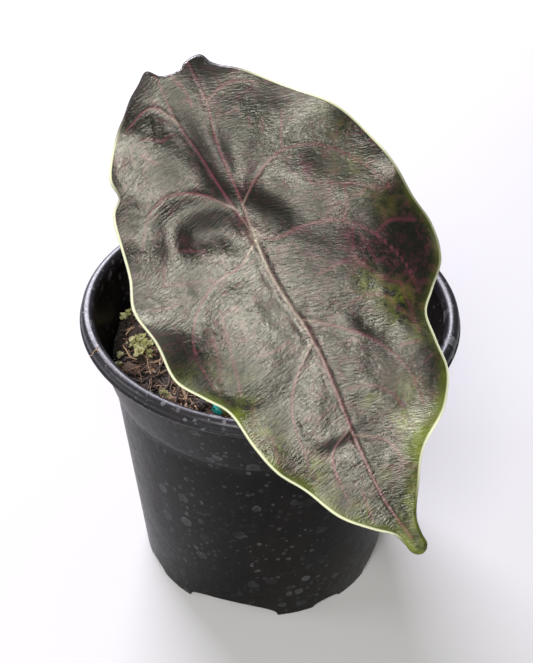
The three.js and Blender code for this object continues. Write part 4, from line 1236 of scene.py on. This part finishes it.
def fine_height(u, v, reaches, edge_distance):
    """Raised veins and soft puckers on the upper face."""
    height = np.zeros_like(u)
    for i, (distance, run, length, _) in enumerate(reaches):
        share = run / length
        width, crest = (0.55, 0.05) if i else (0.8, 0.15)
        width, crest = width * (1 - 0.4 * share), crest * (1 - 0.6 * share)
        beside = bell(distance - 1.9 * width, 0.9 * width)
        height = height + crest * (bell(distance, width) - 0.35 * beside)
    nearest = np.min([distance for distance, *_ in reaches], axis=0)
    calm = smoothstep(0, 2.5, edge_distance) * smoothstep(0.3, 1.6, nearest)
    puckers = 0.12 * noise2(u / 5.5, v / 5.5, 60) + 0.045 * noise2(u / 2.2, v / 2.8, 61)
    creases = 0.018 * noise2((u - WRINKLE_SWEEP * np.abs(v)) / 0.8, v / 3, 62)
    return height + calm * (puckers + creases)


def margin_masks(on_left, run, edge_distance):
    """The cream rim and the green band inside it, which come and go along the edges."""
    left = smoothstep(0.12, 0.2, run) * smoothstep(0.97, 0.93, run) * (1 - 0.75 * bell(run - 0.25, 0.02))
    right = smoothstep(0.09, 0.15, run) * smoothstep(0.93, 0.86, run)
    right = right * (1 - 0.65 * smoothstep(0.33, 0.42, run) * smoothstep(0.6, 0.56, run))
    margin = np.where(on_left, left, right) * (1 - smoothstep(0.36, 0.6, edge_distance))
    bend = bell(run - 0.8, 0.07)
    width = np.where(on_left, 1.5, 1.5 + 2.2 * bend)
    right_strength = 0.35 * smoothstep(0.36, 0.45, run) + 0.5 * bend
    strength = np.where(on_left, 0.65 * smoothstep(0.46, 0.62, run), right_strength)
    return {"margin": margin, "edge_band": strength * bell(edge_distance, width)}


def under_rib_height(u, v, reaches, fine):
    """How far the ribs, the boss round the stalk and the fine veins stand out below the blade."""
    height = np.zeros_like(u)
    for i, (distance, run, length, _) in enumerate(reaches):
        kind = MIDRIB_RIB if i == 0 else SIDE_RIB if i <= len(SIDE_VEINS) else COSTA_RIB
        radius, depth = (wide - less * run / length for wide, less in kind)
        height = np.maximum(height, depth * np.sqrt(np.clip(1 - (distance / radius) ** 2, 0, 1)))
    boss = BOSS_LENGTH * smoothstep(BOSS_RADIUS + 0.4, PETIOLE_TOP_RADIUS + 0.1, np.hypot(u, v))
    return np.maximum(height, boss) + 0.25 * fine


def blade_faces(rows, columns, low_columns):
    """Faces of the upper and lower grids and of the rims that join them, each with its material."""
    count = rows * columns
    rim_start = count + rows * low_columns
    keep = np.arange(rim_start + 2 * rows)
    for row in (0, rows - 1):
        for start, width in ((0, columns), (count, low_columns)):
            first = start + row * width
            keep[first:first + width] = first + width // 2
        keep[rim_start + rows + row] = rim_start + row
    row = np.arange(rows - 1)
    blocks = [(grid_faces(rows, columns)[:, ::-1], 0), (grid_faces(rows, low_columns, count), 1)]
    for k, (edge, low_edge, turn) in enumerate(((0, 0, 1), (columns - 1, low_columns - 1, -1))):
        high, low = row * columns + edge, count + row * low_columns + low_edge
        rim = rim_start + k * rows + row
        for strip, material in (([high, high + columns, rim + 1, rim], 0),
                                ([rim, rim + 1, low + low_columns, low], 1)):
            blocks.append((np.stack(strip, -1)[:, ::turn], material))
    faces, materials = [], []
    for block, material in blocks:
        for face in keep[block].tolist():
            shape = [p for n, p in enumerate(face) if p != face[n - 1]]
            if len(set(shape)) > 2:
                faces.append(shape)
                materials.append(material)
    return faces, materials


def build_blade(upper_material, under_material):
    """Blade of a fine grid above and one with half its columns below, joined by rounded rims."""
    places, left, right = blade_places()
    rows, columns = places.shape[:2]
    u, v = places[..., 0].ravel(), places[..., 1].ravel()
    reaches = vein_reaches(u, v)
    column = np.tile(np.arange(columns) - BLADE_COLUMNS, rows)
    row_share = np.repeat(np.linspace(0, 1, rows), columns)
    on_left = column < 0
    edges = [reach_of_line(u, v, edge[::3])[0] for edge in (left, right)]
    edge_distance = np.where(on_left, *edges)
    edge_distance[np.abs(column) == BLADE_COLUMNS] = 0
    flat_reach = np.linalg.norm(places - places[:, BLADE_COLUMNS:BLADE_COLUMNS + 1], axis=-1)
    full = np.where(np.arange(columns) < BLADE_COLUMNS, flat_reach[:, :1], flat_reach[:, -1:])
    outward = (flat_reach / np.maximum(full, 1e-6)).ravel()
    phase = np.where(on_left, 1.0, 3.4)
    wave = np.sin(2 * math.pi * MARGIN_WAVE_COUNT * row_share + phase) * np.sin(math.pi * row_share)
    values = {**blade_masks(u, v, reaches), **margin_masks(on_left, row_share, edge_distance)}
    top = base_height(u, v, reaches) + MARGIN_WAVE * wave * outward ** 4
    top = top + fine_height(u, v, reaches, edge_distance)
    top = top - EDGE_DROP * (1 - smoothstep(0, 0.8, edge_distance)) ** 2
    thickness = SHEET_THICKNESS - EDGE_THINNING * (1 - smoothstep(0, 1.2, edge_distance))
    bottom = top - thickness - under_rib_height(u, v, reaches, values["fine_vein"])
    upper, lower = blade_point(u, v, top), blade_point(u, v, bottom)

    starts = np.arange(rows) * columns
    below = np.arange(0, columns, 2)
    low_at = (starts[:, None] + below).ravel()
    rims, rim_at = [], []
    for at, inner in ((starts, 1), (starts + columns - 1, -1)):
        outwards = upper[at] - upper[at + inner]
        outwards /= np.maximum(np.linalg.norm(outwards, axis=1), 1e-6)[:, None]
        rims.append((upper[at] + lower[at]) / 2 + RIM_BULGE * outwards)
        rim_at.append(at)
    points = np.vstack([upper, lower[low_at], *rims])
    source = np.concatenate([np.arange(len(upper)), low_at, *rim_at])
    faces, under = blade_faces(rows, columns, len(below))
    used, numbered = np.unique(np.concatenate([np.array(face) for face in faces]), return_inverse=True)
    starts = np.cumsum([0, *(len(face) for face in faces)])
    faces = [numbered[a:b].tolist() for a, b in zip(starts, starts[1:])]
    values = {key: data[source[used]] for key, data in values.items()}
    make_piece("leaf", points[used], faces, [upper_material, under_material],
               replaces=["leaf_blade"], face_materials=under, values=values)


# Stage

LIGHT_TARGET = Vector((0, -0.03, 0.11))

# Heading, tilt and roll in degrees, each about an axis of the camera
CAMERA_TURNS = ((0.24, "Z"), (51.65, "X"), (1.92, "Z"))
CAMERA_PLACE = (0, -0.2144, 0.2495)
CAMERA_LENS = 52.13


def soft_light(name, place, size, radiance, colour):
    """Square softbox of a given brightness, aimed at the leaf."""
    lamp = bpy.data.lights.new(name, "AREA")
    lamp.shape = "RECTANGLE"
    lamp.size, lamp.size_y = size
    lamp.energy = radiance * math.pi * size[0] * size[1]
    lamp.color = colour
    light = put(name, lamp)
    light.visible_camera = False
    light.location = place
    light.rotation_euler = (LIGHT_TARGET - Vector(place)).to_track_quat("-Z", "Y").to_euler()


def build_stage():
    scene = bpy.context.scene
    mesh = bpy.data.meshes.new("floor")
    mesh.from_pydata([(-4, -4, 0), (4, -4, 0), (4, 4, 0), (-4, 4, 0)], [], [(0, 1, 2, 3)])
    mesh.materials.append(floor_material())
    floor = put("floor", mesh)
    world = scene.world or bpy.data.worlds.new("studio")
    scene.world = world
    world.use_nodes = True
    background = world.node_tree.nodes["Background"]
    background.inputs[0].default_value = (0.96, 0.97, 1.0, 1)
    background.inputs[1].default_value = 0.12
    soft_light("key", (-0.14, -0.82, 0.9), (0.52, 0.42), 26, (1.0, 0.98, 0.95))
    soft_light("back", (-0.45, 1.05, 0.8), (0.9, 0.5), 34, (0.90, 0.87, 1.0))
    soft_light("side", (-1.1, -0.15, 0.55), (0.4, 0.5), 9, (0.94, 0.94, 1.0))


def build_camera():
    """Camera as the photograph has it: in front and above, looking down at the leaf."""
    data = bpy.data.cameras.new("camera")
    data.sensor_width = 36
    data.lens = CAMERA_LENS
    data.clip_start = 0.01
    camera = put("camera", data)
    stance = Matrix.Translation(CAMERA_PLACE)
    for angle, axis in CAMERA_TURNS:
        stance = stance @ Matrix.Rotation(math.radians(angle), 4, axis)
    camera.matrix_world = stance
    bpy.context.scene.camera = camera


bpy.context.scene.view_settings.view_transform = "Standard"
build_camera()
build_stage()

# Colours of the mix's bits along their tint
BARK = [(0, (0.007, 0.004, 0.0025)), (0.35, (0.021, 0.0115, 0.0065)), (0.7, (0.082, 0.042, 0.022)),
        (1, (0.28, 0.17, 0.10))]
FINES = [(0, (0.004, 0.0027, 0.0017)), (0.5, (0.011, 0.0065, 0.004)), (1, (0.038, 0.021, 0.012))]
COIR = [(0, (0.022, 0.0115, 0.0065)), (0.5, (0.088, 0.046, 0.025)), (1, (0.38, 0.25, 0.145))]
MOSS = [(0, (0.10, 0.105, 0.035)), (0.6, (0.28, 0.285, 0.11)), (1, (0.5, 0.47, 0.28))]

build_pot(pot_material("pot_plastic", False), pot_material("pot_rim", True))
build_bed(tinted_material("mix_fines", FINES, 0.92, 0.9, 0.5))
build_bits(
    tinted_material("bark", BARK, 0.85, 0.8, 0.35),
    tinted_material("crumb", FINES, 0.9, 1.2, 0.3),
    tinted_material("coir", COIR, 0.8, 1.0, 0.15),
    tinted_material("moss", MOSS, 0.6, 0.7, 0.2),
    prill_material(),
)
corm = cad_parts["corm"]
corm.data.materials.clear()
corm.data.materials.append(corm_material())
build_petiole(petiole_material())
build_blade(leaf_upper_material(), leaf_under_material())
